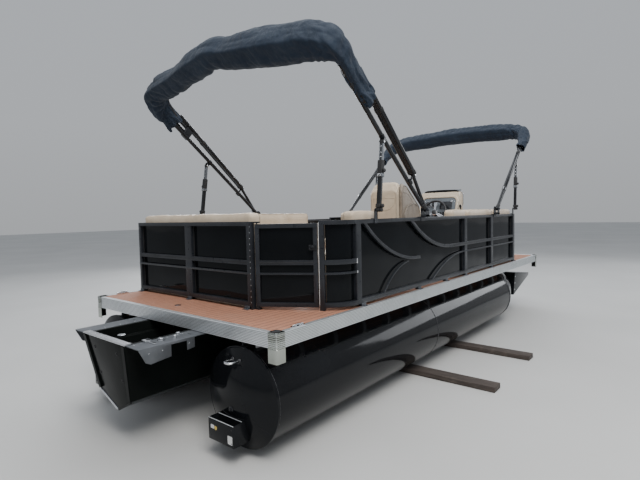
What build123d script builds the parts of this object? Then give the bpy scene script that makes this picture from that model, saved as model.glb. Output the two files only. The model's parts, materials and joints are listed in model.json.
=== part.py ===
from build123d import *
from math import sin, cos, tan, radians, sqrt
import os

os.makedirs("parts", exist_ok=True)

# ---------------------------------------------------------------------------
# Pontoon boat, millimetres. +X starboard, +Y bow, +Z up.
# Origin: middle of the footprint, at the underside of the two flat bearers.
# ---------------------------------------------------------------------------

# --- bearers the tubes stand on
BEARER_H = 50
BEARER_W = 157
BEARER_X = 1880
BEARER_YS = (-709, 400)

# --- flotation tubes
TUBE_X = 858
TUBE_R = 345
TUBE_Z = BEARER_H + TUBE_R
TUBE_AFT = -2850
TUBE_FORE = 1930
DOME_DEPTH = 95
NOSE_Y = 2500
NOSE_TIP_Y = 3330

# --- deck
BEAM = 1220
DECK_AFT = -2860
DECK_BOW = 3286
DECK_TOP = 887
DECK_T = 25
TRIM_TOP = 890
TRIM_BOT = 786
TRIM_T = 34
CAP_T = 4

# --- fence
FX = 1174          # outer face of the side fences
FT = 34            # square rail size
F_AFT = -2430      # outer face of the aft fence
F_BOW = 2212       # outer face of the bow fence
BASE_Z = (912, 948)
TOP_Z = (1556, 1590)
MIDU_Z = (1245, 1283)
MIDL_Z = (1168, 1185)
PANEL_T = 3
PANEL_Z = (917, 1585)
CORNER_R = 272
CORNER_C = (902, -1900)
CORNER_A = -65.0
GATE_Z = (914, 1570)
LUG_LO = (888, 904)
LUG_HI = (1578, 1590)
PIN_R = 5
PIN_CLR = 0.06

# --- diagonal boarding gate, outer face from G0, local x along it, local y inward
G0 = (556, -2412)
G_ANG = 30.0
G_LEN = 500
GATE_AFT = Plane(origin=(G0[0], G0[1], 0),
                 x_dir=(cos(radians(G_ANG)), sin(radians(G_ANG)), 0), z_dir=(0, 0, 1))
BOW_GATE_X = 325
PORT_GATE_Y = (110, 730)

# --- seats
SEAT_TOP = 1304
SEAT_T = 108
BASE_TOP = SEAT_TOP - SEAT_T
BACK_Z = (1312, 1665)
WALL = 12

# --- bimini frames: foot pivot and lean above the horizontal
ARM_X = 1206
ARM_R = 18
LEAN = 39.5
PIV_Z = 1665


def bx(x0, x1, y0, y1, z0, z1, mode=Mode.ADD):
    with Locations(((x0 + x1) / 2, (y0 + y1) / 2, (z0 + z1) / 2)):
        Box(abs(x1 - x0), abs(y1 - y0), abs(z1 - z0), mode=mode)


def cyl(x, y, z0, z1, r, mode=Mode.ADD):
    with Locations((x, y, (z0 + z1) / 2)):
        Cylinder(r, z1 - z0, mode=mode)


def rod(p, q, r, mode=Mode.ADD):
    p, q = Vector(*p), Vector(*q)
    with BuildSketch(Plane(origin=p, z_dir=q - p)) as sk:
        Circle(r)
    extrude(sk.sketch, amount=(q - p).length, dir=q - p, mode=mode)


def save(builder, label):
    builder.part.label = label
    export_step(builder.part, f"parts/{label}.step")


# ---------------------------------------------------------------------------
# Underside
# ---------------------------------------------------------------------------
with BuildPart() as bearers:
    for by in BEARER_YS:
        bx(-BEARER_X, BEARER_X, by - BEARER_W / 2, by + BEARER_W / 2, 0, BEARER_H)
save(bearers, "bearers")

# one tube: domed aft end, welded rings, mid seam, and a nose that rises to a blunt end
for side, sx in (("port", -1), ("starboard", 1)):
    with BuildPart() as pontoon:
        axis_pl = Plane(origin=(sx * TUBE_X, 0, TUBE_Z), x_dir=(0, 1, 0), z_dir=(1, 0, 0))
        with BuildSketch(axis_pl):
            with BuildLine():
                # columns: station along the boat, radius
                ring = 8
                a = TUBE_AFT
                pts = [(a, TUBE_R), (a, TUBE_R + ring), (a + 22, TUBE_R + ring), (a + 22, TUBE_R)]
                for st in (-480, TUBE_FORE - 30):
                    pts += [(st - 6, TUBE_R), (st - 6, TUBE_R + 2), (st + 6, TUBE_R + 2), (st + 6, TUBE_R)]
                pts += [(TUBE_FORE, TUBE_R), (TUBE_FORE, 0)]
                Polyline(*pts)
                Line((TUBE_FORE, 0), (a - DOME_DEPTH, 0))
                dr = (TUBE_R ** 2 + DOME_DEPTH ** 2) / (2 * DOME_DEPTH)
                half = TUBE_R / 2
                mid = a - DOME_DEPTH + dr - sqrt(dr ** 2 - half ** 2)
                ThreePointArc((a - DOME_DEPTH, 0), (mid, half), (a, TUBE_R))
            make_face()
        revolve(axis=Axis((sx * TUBE_X, 0, TUBE_Z), (0, 1, 0)))
        # nose cone
        with BuildSketch(Plane(origin=(sx * TUBE_X, TUBE_FORE, TUBE_Z), x_dir=(1, 0, 0), z_dir=(0, 1, 0))):
            Circle(TUBE_R)
        with BuildSketch(Plane(origin=(sx * TUBE_X, NOSE_Y, 502), x_dir=(1, 0, 0), z_dir=(0, 1, 0))):
            Circle(170)
        loft()
    save(pontoon, f"pontoon_{side}")

# wedge caps bolted on the noses
with BuildPart() as nose_caps:
    for sx in (-1, 1):
        with BuildSketch(Plane.YZ.offset(sx * TUBE_X - 222)):
            with BuildLine():
                Polyline((NOSE_Y, 320), (NOSE_Y + 70, 665), (NOSE_TIP_Y - 12, 580), (NOSE_TIP_Y, 560),
                         (NOSE_TIP_Y - 30, 535), close=True)
            make_face()
        extrude(amount=444)
save(nose_caps, "nose_caps")

# box brackets low on each dome
with BuildPart() as tail_boxes:
    for sx in (-1, 1):
        x0 = sx * 840
        bx(x0 - 130, x0 + 130, -3022, -2865, 136, 284)
        bx(x0 - 120, x0 + 120, -3012, -2940, 200, 300, mode=Mode.SUBTRACT)
save(tail_boxes, "tail_boxes")

# U-shaped eyes high on each dome
with BuildPart() as tow_eyes:
    for sx in (-1, 1):
        x0 = sx * TUBE_X
        ze = TUBE_Z + 270
        with BuildLine(Plane(origin=(x0, -2875, ze), x_dir=(1, 0, 0), z_dir=(0, 0, 1))) as eye:
            FilletPolyline((-34, 0), (-34, -98), (34, -98), (34, 0), radius=26)
        with BuildSketch(Plane(origin=(x0 - 34, -2875, ze), x_dir=(1, 0, 0), z_dir=(0, -1, 0))):
            Circle(8)
        sweep(path=eye.line)
save(tow_eyes, "tow_eyes")

# riser rails: two angle strips welded along the crown of each tube
with BuildPart() as riser_rails:
    for sx in (-1, 1):
        for dx in (-1, 1):
            xr = sx * TUBE_X + dx * 70
            bx(xr - 4, xr + 4, -2770, 1880, 727, TRIM_BOT)
            bx(xr - 4 + (0 if dx > 0 else -34), xr + 4 + (34 if dx > 0 else 0), -2770, 1880, TRIM_BOT - 6, TRIM_BOT)
save(riser_rails, "riser_rails")

# cross members under the deck
CM_N = 15
CM_PITCH = 425
with BuildPart() as cross_members:
    for i in range(CM_N):
        yc = -2780 + 25 + i * CM_PITCH
        bx(-BEAM + TRIM_T + 4, BEAM - TRIM_T - 4, yc - 25, yc + 25, TRIM_BOT, DECK_TOP - DECK_T)
        bx(-BEAM, BEAM, yc - 19, yc + 26, TRIM_BOT + 6, DECK_TOP - DECK_T - 6, mode=Mode.SUBTRACT)
save(cross_members, "cross_members")

with BuildPart() as deck_panel:
    bx(-BEAM + TRIM_T + 4, BEAM - TRIM_T - 4, DECK_AFT + TRIM_T + 4, DECK_BOW - TRIM_T - 4,
       DECK_TOP - DECK_T, DECK_TOP)
save(deck_panel, "deck_panel")

# grooved extrusion round the deck, mitred under the corner caps
TRIM_SECTION = [  # columns: distance in from the outer face, height
    (0, TRIM_BOT), (0, 804), (4, 806), (4, 812), (0, 814), (0, 828), (4, 830), (4, 836), (0, 838),
    (0, 852), (4, 854), (4, 860), (0, 862), (0, TRIM_TOP), (41, TRIM_TOP), (41, DECK_TOP),
    (34, DECK_TOP), (34, TRIM_BOT)]
with BuildPart() as edge_trim:
    o = CAP_T
    for sx in (-1, 1):
        with BuildSketch(Plane(origin=(0, DECK_AFT + o, 0), x_dir=(1, 0, 0), z_dir=(0, -1, 0))):
            with BuildLine():
                Polyline(*[(sx * (BEAM - o - d), h) for d, h in TRIM_SECTION], close=True)
            make_face()
        extrude(amount=-(DECK_BOW - DECK_AFT - 2 * o))
    for y0, sy in ((DECK_AFT + o, 1), (DECK_BOW - o, -1)):
        with BuildSketch(Plane.YZ.offset(-(BEAM - o - 41))):
            with BuildLine():
                Polyline(*[(y0 + sy * d, h) for d, h in TRIM_SECTION], close=True)
            make_face()
        extrude(amount=2 * (BEAM - o - 41))
save(edge_trim, "edge_trim")

# polished corner caps
CAP_L = 80
with BuildPart() as corner_caps:
    for sx in (-1, 1):
        for ye, sy in ((DECK_AFT, 1), (DECK_BOW, -1)):
            xa, ya = sx * BEAM, ye
            # outer face plates
            bx(xa, xa - sx * CAP_T, ya, ya + sy * CAP_L, 690, TRIM_TOP + 3)
            bx(xa, xa - sx * CAP_L, ya, ya + sy * CAP_T, 690, TRIM_TOP + 3)
            bx(xa, xa - sx * CAP_L, ya, ya + sy * CAP_L, TRIM_TOP, TRIM_TOP + 3)
            # ribs
            for zr in (798, 820, 842, 864):
                bx(xa - sx * 0.0, xa - sx * 2, ya, ya + sy * CAP_L, zr, zr + 8, mode=Mode.SUBTRACT)
                bx(xa, xa - sx * CAP_L, ya, ya + sy * 2, zr, zr + 8, mode=Mode.SUBTRACT)
save(corner_caps, "corner_caps")

# ---------------------------------------------------------------------------
# Motor pod between the tubes: raked transom, vee bottom, open splash well
# ---------------------------------------------------------------------------
POD_TOP = 783
POD_W = 309
POD_CHINE = (230, 358)
POD_KEEL = 239
POD_FORE = -1300
with BuildPart() as motor_pod:
    with BuildSketch(Plane(origin=(0, -3425, 0), x_dir=(1, 0, 0), z_dir=(0, -1, 0))):
        with BuildLine():
            Polyline((-POD_W, POD_TOP), (-POD_CHINE[0], POD_CHINE[1]), (0, POD_KEEL),
                     (POD_CHINE[0], POD_CHINE[1]), (POD_W, POD_TOP), close=True)
        make_face()
    extrude(amount=-(POD_FORE + 3425))
    # rake of the transom and the sweep-up of the fore end
    with BuildSketch(Plane.YZ.offset(-500)):
        with BuildLine():
            Polyline((-3500, 900), (-3395.56, 900), (-3283.91, 215), (-3500, 215), close=True)
        make_face()
    extrude(amount=1000, mode=Mode.SUBTRACT)
    with BuildSketch(Plane.YZ.offset(-500)):
        with BuildLine():
            Polyline((-1800, 170), (-1200, 170), (-1200, 790), (-1300, 790), close=True)
        make_face()
    extrude(amount=1000, mode=Mode.SUBTRACT)
    # splash well
    for half, z_floor in ((235, 560), (280, 700)):
        with BuildSketch(Plane.YZ.offset(-half)) as well:
            with BuildLine():
                Polyline((-3325, 900), (-3285, z_floor), (-2690, z_floor), (-2620, 900), close=True)
            make_face()
        extrude(well.sketch, amount=2 * half, dir=(1, 0, 0), mode=Mode.SUBTRACT)
save(motor_pod, "motor_pod")

# transom plate: raised side bars on the raked face and the flat lip on top
with BuildPart() as transom_plate:
    with BuildSketch(Plane.XY.offset(POD_TOP)):
        with Locations((0, -3357)):
            Rectangle(2 * POD_W, 52)
    extrude(amount=12)
save(transom_plate, "transom_plate")

# side flanges of the pod with hanging plates
with BuildPart() as pod_flanges:
    for sx in (-1, 1):
        xo = sx * 475
        with BuildSketch(Plane.YZ.offset(xo - (5 if sx > 0 else 0))):
            with BuildLine():
                Polyline((-3370, POD_TOP), (-3370, POD_TOP - 10), (-3324, 685), (-3289, 668), (-2944, 704),
                         (-2944, POD_TOP), close=True)
            make_face()
            with Locations((-3070, 710)):
                Rectangle(127, 110, mode=Mode.SUBTRACT)
        extrude(amount=5)
        bx(sx * POD_W, sx * 475, -3370, -2400, POD_TOP - 6, POD_TOP)
save(pod_flanges, "pod_flanges")

# pull-up cleats at the four deck corners
with BuildPart() as deck_cleats:
    for sx in (-1, 1):
        for yc in (-2622, 3110):
            with BuildSketch(Plane.XY.offset(TRIM_TOP)):
                with Locations((sx * 1188, yc)):
                    SlotOverall(130, 42, rotation=90)
            extrude(amount=9)
            bx(sx * 1188 - 9, sx * 1188 + 9, yc - 45, yc + 45, TRIM_TOP + 9, TRIM_TOP + 14)
save(deck_cleats, "deck_cleats")

# ---------------------------------------------------------------------------
# Fences: welded square-tube frames, thin panels on their inner faces
# ---------------------------------------------------------------------------


def foot(x0, x1, y0, y1):
    bx(x0, x1, y0, y1, DECK_TOP, BASE_Z[0] + 1)


def lug(x0, x1, y0, y1, px, py):
    for z0, z1 in (LUG_LO, LUG_HI):
        bx(x0, x1, y0, y1, z0, z1)
        cyl(px, py, z0 - 1, z1 + 1, PIN_R + PIN_CLR, mode=Mode.SUBTRACT)


def gate_pins(px, py):
    cyl(px, py, LUG_LO[0] + 3, GATE_Z[0] + 1, PIN_R)
    cyl(px, py, GATE_Z[1] - 1, LUG_HI[1], PIN_R)


AFT_PIV = GATE_AFT.from_local_coords((12, 24, 0))
with BuildPart() as fence_aft:
    y0, y1 = F_AFT, F_AFT + FT
    for z0, z1 in (BASE_Z, TOP_Z):
        bx(-FX, 514, y0, y1, z0, z1)
    bx(-FX, 514, y0, y0 + 20, *MIDU_Z)
    bx(-FX, 514, y0 - 2, y0 + 16, *MIDL_Z)
    # columns: post from x, to x
    for xa, xb in ((-FX, -FX + FT), (-365, -270), (474, 514)):
        bx(xa, xb, y0, y1, BASE_Z[0], TOP_Z[1])
    bx(514, 530, y0 - 4, y1 + 4, DECK_TOP, TOP_Z[1])
    for xf in (-FX, -345, 440):
        foot(xf, xf + 50, y0, y1)
    lug(516, 572, y1 - 6, y1 + 28, AFT_PIV.X, AFT_PIV.Y)
save(fence_aft, "fence_aft")

with BuildPart() as panels_aft:
    bx(-FX + FT, 514, F_AFT + FT, F_AFT + FT + PANEL_T, *PANEL_Z)
save(panels_aft, "panels_aft")


def sector(r0, r1, z0, z1, a0=CORNER_A, a1=0.0):
    with BuildSketch(Plane.XY.offset(z0)) as sk:
        with BuildLine():
            def at(r, a):
                return (CORNER_C[0] + r * cos(radians(a)), CORNER_C[1] + r * sin(radians(a)))
            am = (a0 + a1) / 2
            ThreePointArc(at(r1, a0), at(r1, am), at(r1, a1))
            Line(at(r1, a1), at(r0, a1))
            ThreePointArc(at(r0, a1), at(r0, am), at(r0, a0))
            Line(at(r0, a0), at(r1, a0))
        make_face()
    extrude(sk.sketch, amount=z1 - z0, dir=(0, 0, 1))


# swept accent rails on the side panels: arc centre (y, z), radius, start and end angle, size, depth
def accent(sx, yc, zc, r, a0, a1, w, depth):
    def pt(a, rr):
        return (yc + rr * cos(radians(a)), zc + rr * sin(radians(a)))

    am = (a0 + a1) / 2
    ro, ri = r + w / 2, r - w / 2
    with BuildSketch(Plane.YZ.offset(FX - depth if sx > 0 else -FX)) as sk:
        with BuildLine():
            ThreePointArc(pt(a0, ro), pt(am, ro), pt(a1, ro))
            Line(pt(a1, ro), pt(a1, ri))
            ThreePointArc(pt(a1, ri), pt(am, ri), pt(a0, ri))
            Line(pt(a0, ri), pt(a0, ro))
        make_face()
    extrude(sk.sketch, amount=depth, dir=(1, 0, 0))


ACCENTS = (  # columns: centre y, centre z, radius, start angle, end angle, size, depth
    (-847, 2585, 1383, -133.0, -88.5, 28, 24),
    (-973, 538, 651, 143.5, 96.4, 12, 16),
    (-97, 2735, 1468, -127.4, -90.0, 34, 22),
    (276, -409, 1585, 123.2, 90.0, 15, 16),
)
with BuildPart() as fence_starboard:
    x0, x1 = FX - FT, FX
    ys, ye = CORNER_C[1], F_BOW
    for z0, z1 in (BASE_Z, TOP_Z):
        bx(x0, x1, ys, ye, z0, z1)
    for ya, yb in ((ys, ys + 67), (305, 378), (1200, 1272), (F_BOW - 72, F_BOW)):
        bx(x0, x1, ya, yb, BASE_Z[0], TOP_Z[1])
    bx(x1 - 20, x1, -97, ye, *MIDU_Z)
    bx(x1 - 16, x1 + 2, 276, ye, *MIDL_Z)
    for a in ACCENTS:
        accent(1, *a)
    for yf in (-1835, -860, -230, 315, 1210, F_BOW - 60):
        foot(x0, x1, yf, yf + 50)
save(fence_starboard, "fence_starboard")

# rounded aft corner with the latch post of the boarding gate
with BuildPart() as fence_corner:
    ri, ro = CORNER_R - FT, CORNER_R
    for z0, z1 in (BASE_Z, TOP_Z):
        sector(ri, ro, z0, z1)
    sector(ro - 20, ro, *MIDU_Z)
    sector(ro - 16, ro + 2, *MIDL_Z)
    ca, sa = cos(radians(CORNER_A)), sin(radians(CORNER_A))
    lp = Plane(origin=(CORNER_C[0] + (ro - 17) * ca, CORNER_C[1] + (ro - 17) * sa, DECK_TOP),
               x_dir=(ca, sa, 0), z_dir=(0, 0, 1))
    with BuildSketch(lp):
        Rectangle(42, 40)
    extrude(amount=TOP_Z[1] - DECK_TOP)
save(fence_corner, "fence_corner")

with BuildPart() as panels_starboard:
    bx(FX - FT - PANEL_T, FX - FT, CORNER_C[1], F_BOW - FT, *PANEL_Z)
save(panels_starboard, "panels_starboard")
with BuildPart() as panels_corner:
    sector(CORNER_R - FT - PANEL_T, CORNER_R - FT, *PANEL_Z, a0=CORNER_A + 5.6)
save(panels_corner, "panels_corner")

PG0, PG1 = PORT_GATE_Y
PORT_PIV = (-FX + FT - 10, PG0 + 12)
with BuildPart() as fence_port:
    x0, x1 = -FX, -FX + FT
    for ya, yb in ((F_AFT + FT, PG0 - 10), (PG1 + 10, F_BOW)):
        for z0, z1 in (BASE_Z, TOP_Z):
            bx(x0, x1, ya, yb, z0, z1)
    for ya, yb in ((F_AFT + FT, F_AFT + 2 * FT), (CORNER_C[1], CORNER_C[1] + 67), (PG0 - 44, PG0 - 10),
                   (PG1 + 10, PG1 + 44), (1200, 1272), (F_BOW - FT, F_BOW)):
        bx(x0, x1, ya, yb, BASE_Z[0], TOP_Z[1])
    for ya, yb in ((F_AFT + FT, CORNER_C[1]), (PG1 + 10, F_BOW)):
        bx(x0, x0 + 20, ya, yb, *MIDU_Z)
        bx(x0 - 2, x0 + 16, ya, yb, *MIDL_Z)
    bx(x0, x0 + 20, -97, PG0 - 10, *MIDU_Z)
    for a in ACCENTS[:3] + ((PG0 - 12,) + ACCENTS[3][1:],):
        accent(-1, *a)
    for yf in (F_AFT + FT, -1835, -860, PG0 - 60, PG1 + 10, 1210, F_BOW - 52):
        foot(x0, x1, yf, yf + 50)
    lug(x0 + 4, x1, PG0 - 16, PG0 + 30, *PORT_PIV)
save(fence_port, "fence_port")

with BuildPart() as panels_port:
    bx(-FX + FT, -FX + FT + PANEL_T, F_AFT + FT + PANEL_T, PG0 - 10, *PANEL_Z)
    bx(-FX + FT, -FX + FT + PANEL_T, PG1 + 10, F_BOW - FT, *PANEL_Z)
save(panels_port, "panels_port")

BG = BOW_GATE_X
BOW_PIV = (-BG + 12, F_BOW - FT + 10)
with BuildPart() as fence_bow:
    y0, y1 = F_BOW - FT, F_BOW
    for sx in (-1, 1):
        for z0, z1 in (BASE_Z, TOP_Z):
            bx(sx * (BG + 10), sx * (FX - FT), y0, y1, z0, z1)
        bx(sx * (BG + 10), sx * (FX - FT), y1 - 20, y1, *MIDU_Z)
        bx(sx * (BG + 10), sx * (FX - FT), y1 - 16, y1 + 2, *MIDL_Z)
        bx(sx * (BG + 10), sx * (BG + 44), y0, y1, BASE_Z[0], TOP_Z[1])
        foot(sx * (BG + 10), sx * (BG + 60), y0, y1)
    lug(-BG - 16, -BG + 30, y0, y1 - 4, *BOW_PIV)
save(fence_bow, "fence_bow")

with BuildPart() as panels_bow:
    for sx in (-1, 1):
        bx(sx * (BG + 10), sx * (FX - FT - PANEL_T), F_BOW - FT - PANEL_T, F_BOW - FT, *PANEL_Z)
save(panels_bow, "panels_bow")


# gates in local coordinates: x along the gate from its hinge end, y inward from its outer face
def gate_frame(length, px, py):
    gz0, gz1 = GATE_Z
    for z0, z1 in ((gz0, gz0 + 34), (gz1 - 34, gz1)):
        bx(0, length, 0, FT, z0, z1)
    bx(0, length, 0, 20, *MIDU_Z)
    bx(0, length, -2, 16, *MIDL_Z)
    for xa in (0, length - FT):
        bx(xa, xa + FT, 0, FT, gz0, gz1)
    gate_pins(px, py)


def gate_panel(length):
    bx(FT, length - FT, 20, 20 + PANEL_T, GATE_Z[0] + 34, GATE_Z[1] - 34)


with BuildPart(GATE_AFT) as gate_aft_frame:
    gate_frame(G_LEN, 12, 24)
save(gate_aft_frame, "gate_aft_frame")
with BuildPart(GATE_AFT) as gate_aft_panel:
    gate_panel(G_LEN)
save(gate_aft_panel, "gate_aft_panel")

with BuildPart() as gate_bow_frame:
    y0, y1 = F_BOW - FT, F_BOW
    for z0, z1 in ((GATE_Z[0], GATE_Z[0] + 34), (GATE_Z[1] - 34, GATE_Z[1])):
        bx(-BG, BG, y0, y1, z0, z1)
    bx(-BG, BG, y1 - 20, y1, *MIDU_Z)
    bx(-BG, BG, y1 - 16, y1 + 2, *MIDL_Z)
    for xa in (-BG, BG - FT):
        bx(xa, xa + FT, y0, y1, *GATE_Z)
    gate_pins(*BOW_PIV)
save(gate_bow_frame, "gate_bow_frame")
with BuildPart() as gate_bow_panel:
    bx(-BG + FT, BG - FT, F_BOW - 20 - PANEL_T, F_BOW - 20, GATE_Z[0] + 34, GATE_Z[1] - 34)
save(gate_bow_panel, "gate_bow_panel")

with BuildPart() as gate_port_frame:
    x0, x1 = -FX, -FX + FT
    for z0, z1 in ((GATE_Z[0], GATE_Z[0] + 34), (GATE_Z[1] - 34, GATE_Z[1])):
        bx(x0, x1, PG0, PG1, z0, z1)
    bx(x0, x0 + 20, PG0, PG1, *MIDU_Z)
    bx(x0 - 2, x0 + 16, PG0, PG1, *MIDL_Z)
    for ya in (PG0, PG1 - FT):
        bx(x0, x1, ya, ya + FT, *GATE_Z)
    gate_pins(*PORT_PIV)
save(gate_port_frame, "gate_port_frame")
with BuildPart() as gate_port_panel:
    bx(-FX + 20, -FX + 20 + PANEL_T, PG0 + FT, PG1 - FT, GATE_Z[0] + 34, GATE_Z[1] - 34)
save(gate_port_panel, "gate_port_panel")

# ---------------------------------------------------------------------------
# Seats: open moulded bases, hinged seat cushions, fixed back cushions
# ---------------------------------------------------------------------------
SEATS = (  # columns: name, x from, x to, y from, y to
    ("seat_aft", -1013, 480, -2270, -1830),
    ("seat_port", -1013, -553, -1770, 60),
    ("seat_starboard", 553, 1013, -1860, -910),
    ("lounge_port", -1013, -553, 960, 2140),
    ("lounge_starboard", 553, 1013, 1105, 2140),
)
BASES = (  # columns: x from, x to, y from, y to
    (-1013, 470, -2270, -1850),
    (-1013, -573, -1760, 50),
    (573, 1013, -1850, -920),
    (-1013, -573, 970, 2130),
    (573, 1013, 1115, 2130),
)
with BuildPart() as seat_bases:
    for xa, xb, ya, yb in BASES:
        bx(xa, xb, ya, yb, DECK_TOP, BASE_TOP)
        bx(xa + WALL, xb - WALL, ya + WALL, yb - WALL, DECK_TOP + WALL, BASE_TOP + 5, mode=Mode.SUBTRACT)
save(seat_bases, "seat_bases")

for nm, xa, xb, ya, yb in SEATS:
    with BuildPart() as seat:
        bx(xa, xb, ya, yb, BASE_TOP, SEAT_TOP)
        fillet(seat.edges().filter_by(Axis.Z), 40)
    save(seat, nm)

# back cushions stand on risers behind the seats; columns: x from, x to, y from, y to
BACKS = (
    (-1131, 500, -2388, -2276),
    (-1131, -1021, -2268, 70),
    (1021, 1131, -1895, -1520),
    (-1131, -1021, 960, 2150),
    (1021, 1131, 60, 455),
    (1021, 1131, 529, 1383),
    (1021, 1131, 1504, 2150),
    (-1013, -563, 840, 950),
    (563, 1013, 985, 1095),
)
with BuildPart() as seat_backs:
    for xa, xb, ya, yb in BACKS:
        bx(xa, xb, ya, yb, BACK_Z[0], BACK_Z[1])
save(seat_backs, "seat_backs")
with BuildPart() as back_risers:
    for xa, xb, ya, yb in BACKS:
        bx(xa + 6, xb - 6, ya + 6, yb - 6, DECK_TOP, BACK_Z[0])
save(back_risers, "back_risers")

# ---------------------------------------------------------------------------
# Helm
# ---------------------------------------------------------------------------
CON_X = (450, 960)
with BuildPart() as helm_console:
    with BuildSketch(Plane.YZ.offset(CON_X[0])):
        with BuildLine():
            Polyline((630, DECK_TOP), (630, 1390), (540, 1450), (548, 1520), (658, 1844), (676, 1882), (700, 1893),
                     (760, 1893), (775, 1876), (775, 1640), (900, 1600), (950, 1550), (950, DECK_TOP), close=True)
        make_face()
    extrude(amount=CON_X[1] - CON_X[0])
    fillet(helm_console.edges().filter_by(GeomType.LINE).group_by(Axis.Z)[-1].filter_by(Axis.Y), 30)
save(helm_console, "helm_console")

with BuildPart() as windscreen:
    with BuildSketch(Plane.YZ.offset(CON_X[0] + 20)):
        with BuildLine():
            Polyline((775, 1660), (781, 1660), (781, 1922), (775.6, 1922), (775.6, 1875), (775, 1875), close=True)
        make_face()
    extrude(amount=CON_X[1] - CON_X[0] - 40)
save(windscreen, "windscreen")

# wheel and column: wheel plane leans with its top away from the helmsman
WHEEL_C = (700, 497, 1638)
WHEEL_TILT = 25.0
WHEEL_R = 165
wz = Vector(0, -cos(radians(WHEEL_TILT)), sin(radians(WHEEL_TILT)))
WHEEL_PL = Plane(origin=WHEEL_C, x_dir=(1, 0, 0), z_dir=wz)
with BuildPart() as steering_wheel:
    with BuildSketch(Plane(origin=WHEEL_PL.from_local_coords((WHEEL_R - 13, 0, 0)), x_dir=(1, 0, 0),
                           z_dir=WHEEL_PL.y_dir)):
        Circle(13)
    revolve(axis=Axis(WHEEL_C, wz))
    for a in (90, 210, 330):
        rod(WHEEL_PL.from_local_coords((30 * cos(radians(a)), 30 * sin(radians(a)), -6)),
            WHEEL_PL.from_local_coords(((WHEEL_R - 14) * cos(radians(a)), (WHEEL_R - 14) * sin(radians(a)), -2)), 9)
    rod(WHEEL_PL.from_local_coords((0, 0, -34)), WHEEL_PL.from_local_coords((0, 0, 12)), 40)
save(steering_wheel, "steering_wheel")
with BuildPart() as steering_column:
    rod(WHEEL_PL.from_local_coords((0, 0, -150)), WHEEL_PL.from_local_coords((0, 0, -40)), 30)
    rod(WHEEL_PL.from_local_coords((0, 0, -200)), WHEEL_PL.from_local_coords((0, 0, -149)), 46)
save(steering_column, "steering_column")

CH_X, CH_Y = 655, -380
CH_W, CH_WING = 138, 55
with BuildPart() as chair_pedestal:
    cyl(CH_X, CH_Y, DECK_TOP, DECK_TOP + 14, 150)
    cyl(CH_X, CH_Y, DECK_TOP + 14, 1175, 38)
save(chair_pedestal, "chair_pedestal")
with BuildPart() as chair_frame:
    bx(CH_X - 150, CH_X + 150, CH_Y - 170, CH_Y + 170, 1175.4, 1202)
save(chair_frame, "chair_frame")
with BuildPart() as chair_seat:
    bx(CH_X - CH_W, CH_X + CH_W, CH_Y - 125, CH_Y + 235, 1202, 1320)
    fillet(chair_seat.edges().filter_by(Axis.Z), 40)
save(chair_seat, "chair_seat")
with BuildPart() as chair_back:
    # rear pad and the two side wings that slope down to the arms
    with BuildSketch(Plane.YZ.offset(CH_X - CH_W)):
        with BuildLine():
            Polyline((CH_Y - 235, 1250), (CH_Y - 225, 1870), (CH_Y - 175, 1957), (CH_Y - 120, 1962),
                     (CH_Y - 128, 1810), (CH_Y - 128, 1250), close=True)
        make_face()
    extrude(amount=2 * CH_W)
save(chair_back, "chair_back")
with BuildPart() as chair_wings:
    for sx in (-1, 1):
        xw = CH_X + (CH_W if sx > 0 else -CH_W - CH_WING)
        with BuildSketch(Plane.YZ.offset(xw)):
            with BuildLine():
                Polyline((CH_Y - 225, 1220), (CH_Y - 215, 1870), (CH_Y - 160, 1940), (CH_Y - 80, 1920),
                         (CH_Y + 130, 1748), (CH_Y + 205, 1690), (CH_Y + 205, 1220), close=True)
            make_face()
        extrude(amount=CH_WING)
    fillet(chair_wings.edges().filter_by(Axis.Z), 20)
save(chair_wings, "chair_wings")

# ---------------------------------------------------------------------------
# Folded bimini tops: arms, packed covers and the struts that carry them
# ---------------------------------------------------------------------------
BIMINIS = (  # columns: name, foot y, direction, mouth, corner, middle, cover radius, arm gap, strut foot y, strut top y
    ("aft", -760, -1, 1300, 1910, 2055, 148, 125, -1615, -1535),
    ("fore", 1331, 1, 1400, 1870, 1985, 132, 40, 2120, 2190),
)
ARM_TOP_X = 1196
BOOT_X = 1170
with BuildPart() as bimini_feet:
    for nm, fy, dr_, mo, co, mi, br, gap, sy0, sy1 in BIMINIS:
        for sx in (-1, 1):
            # side plates on the outer face of the top rail
            for yc in (fy, sy0):
                bx(sx * FX, sx * (FX + 6), yc - 24, yc + 24, TOP_Z[0] - 4, PIV_Z + 16)
                bx(sx * (FX + 6), sx * (FX + 8), yc - 12, yc + 12, PIV_Z - 12, PIV_Z + 12)
                with BuildSketch(Plane.YZ.offset(sx * (FX + 8) if sx > 0 else sx * (FX + 8) - 30)):
                    with Locations((yc, PIV_Z)):
                        Circle(5)
                extrude(amount=30)
save(bimini_feet, "bimini_feet")

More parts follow.
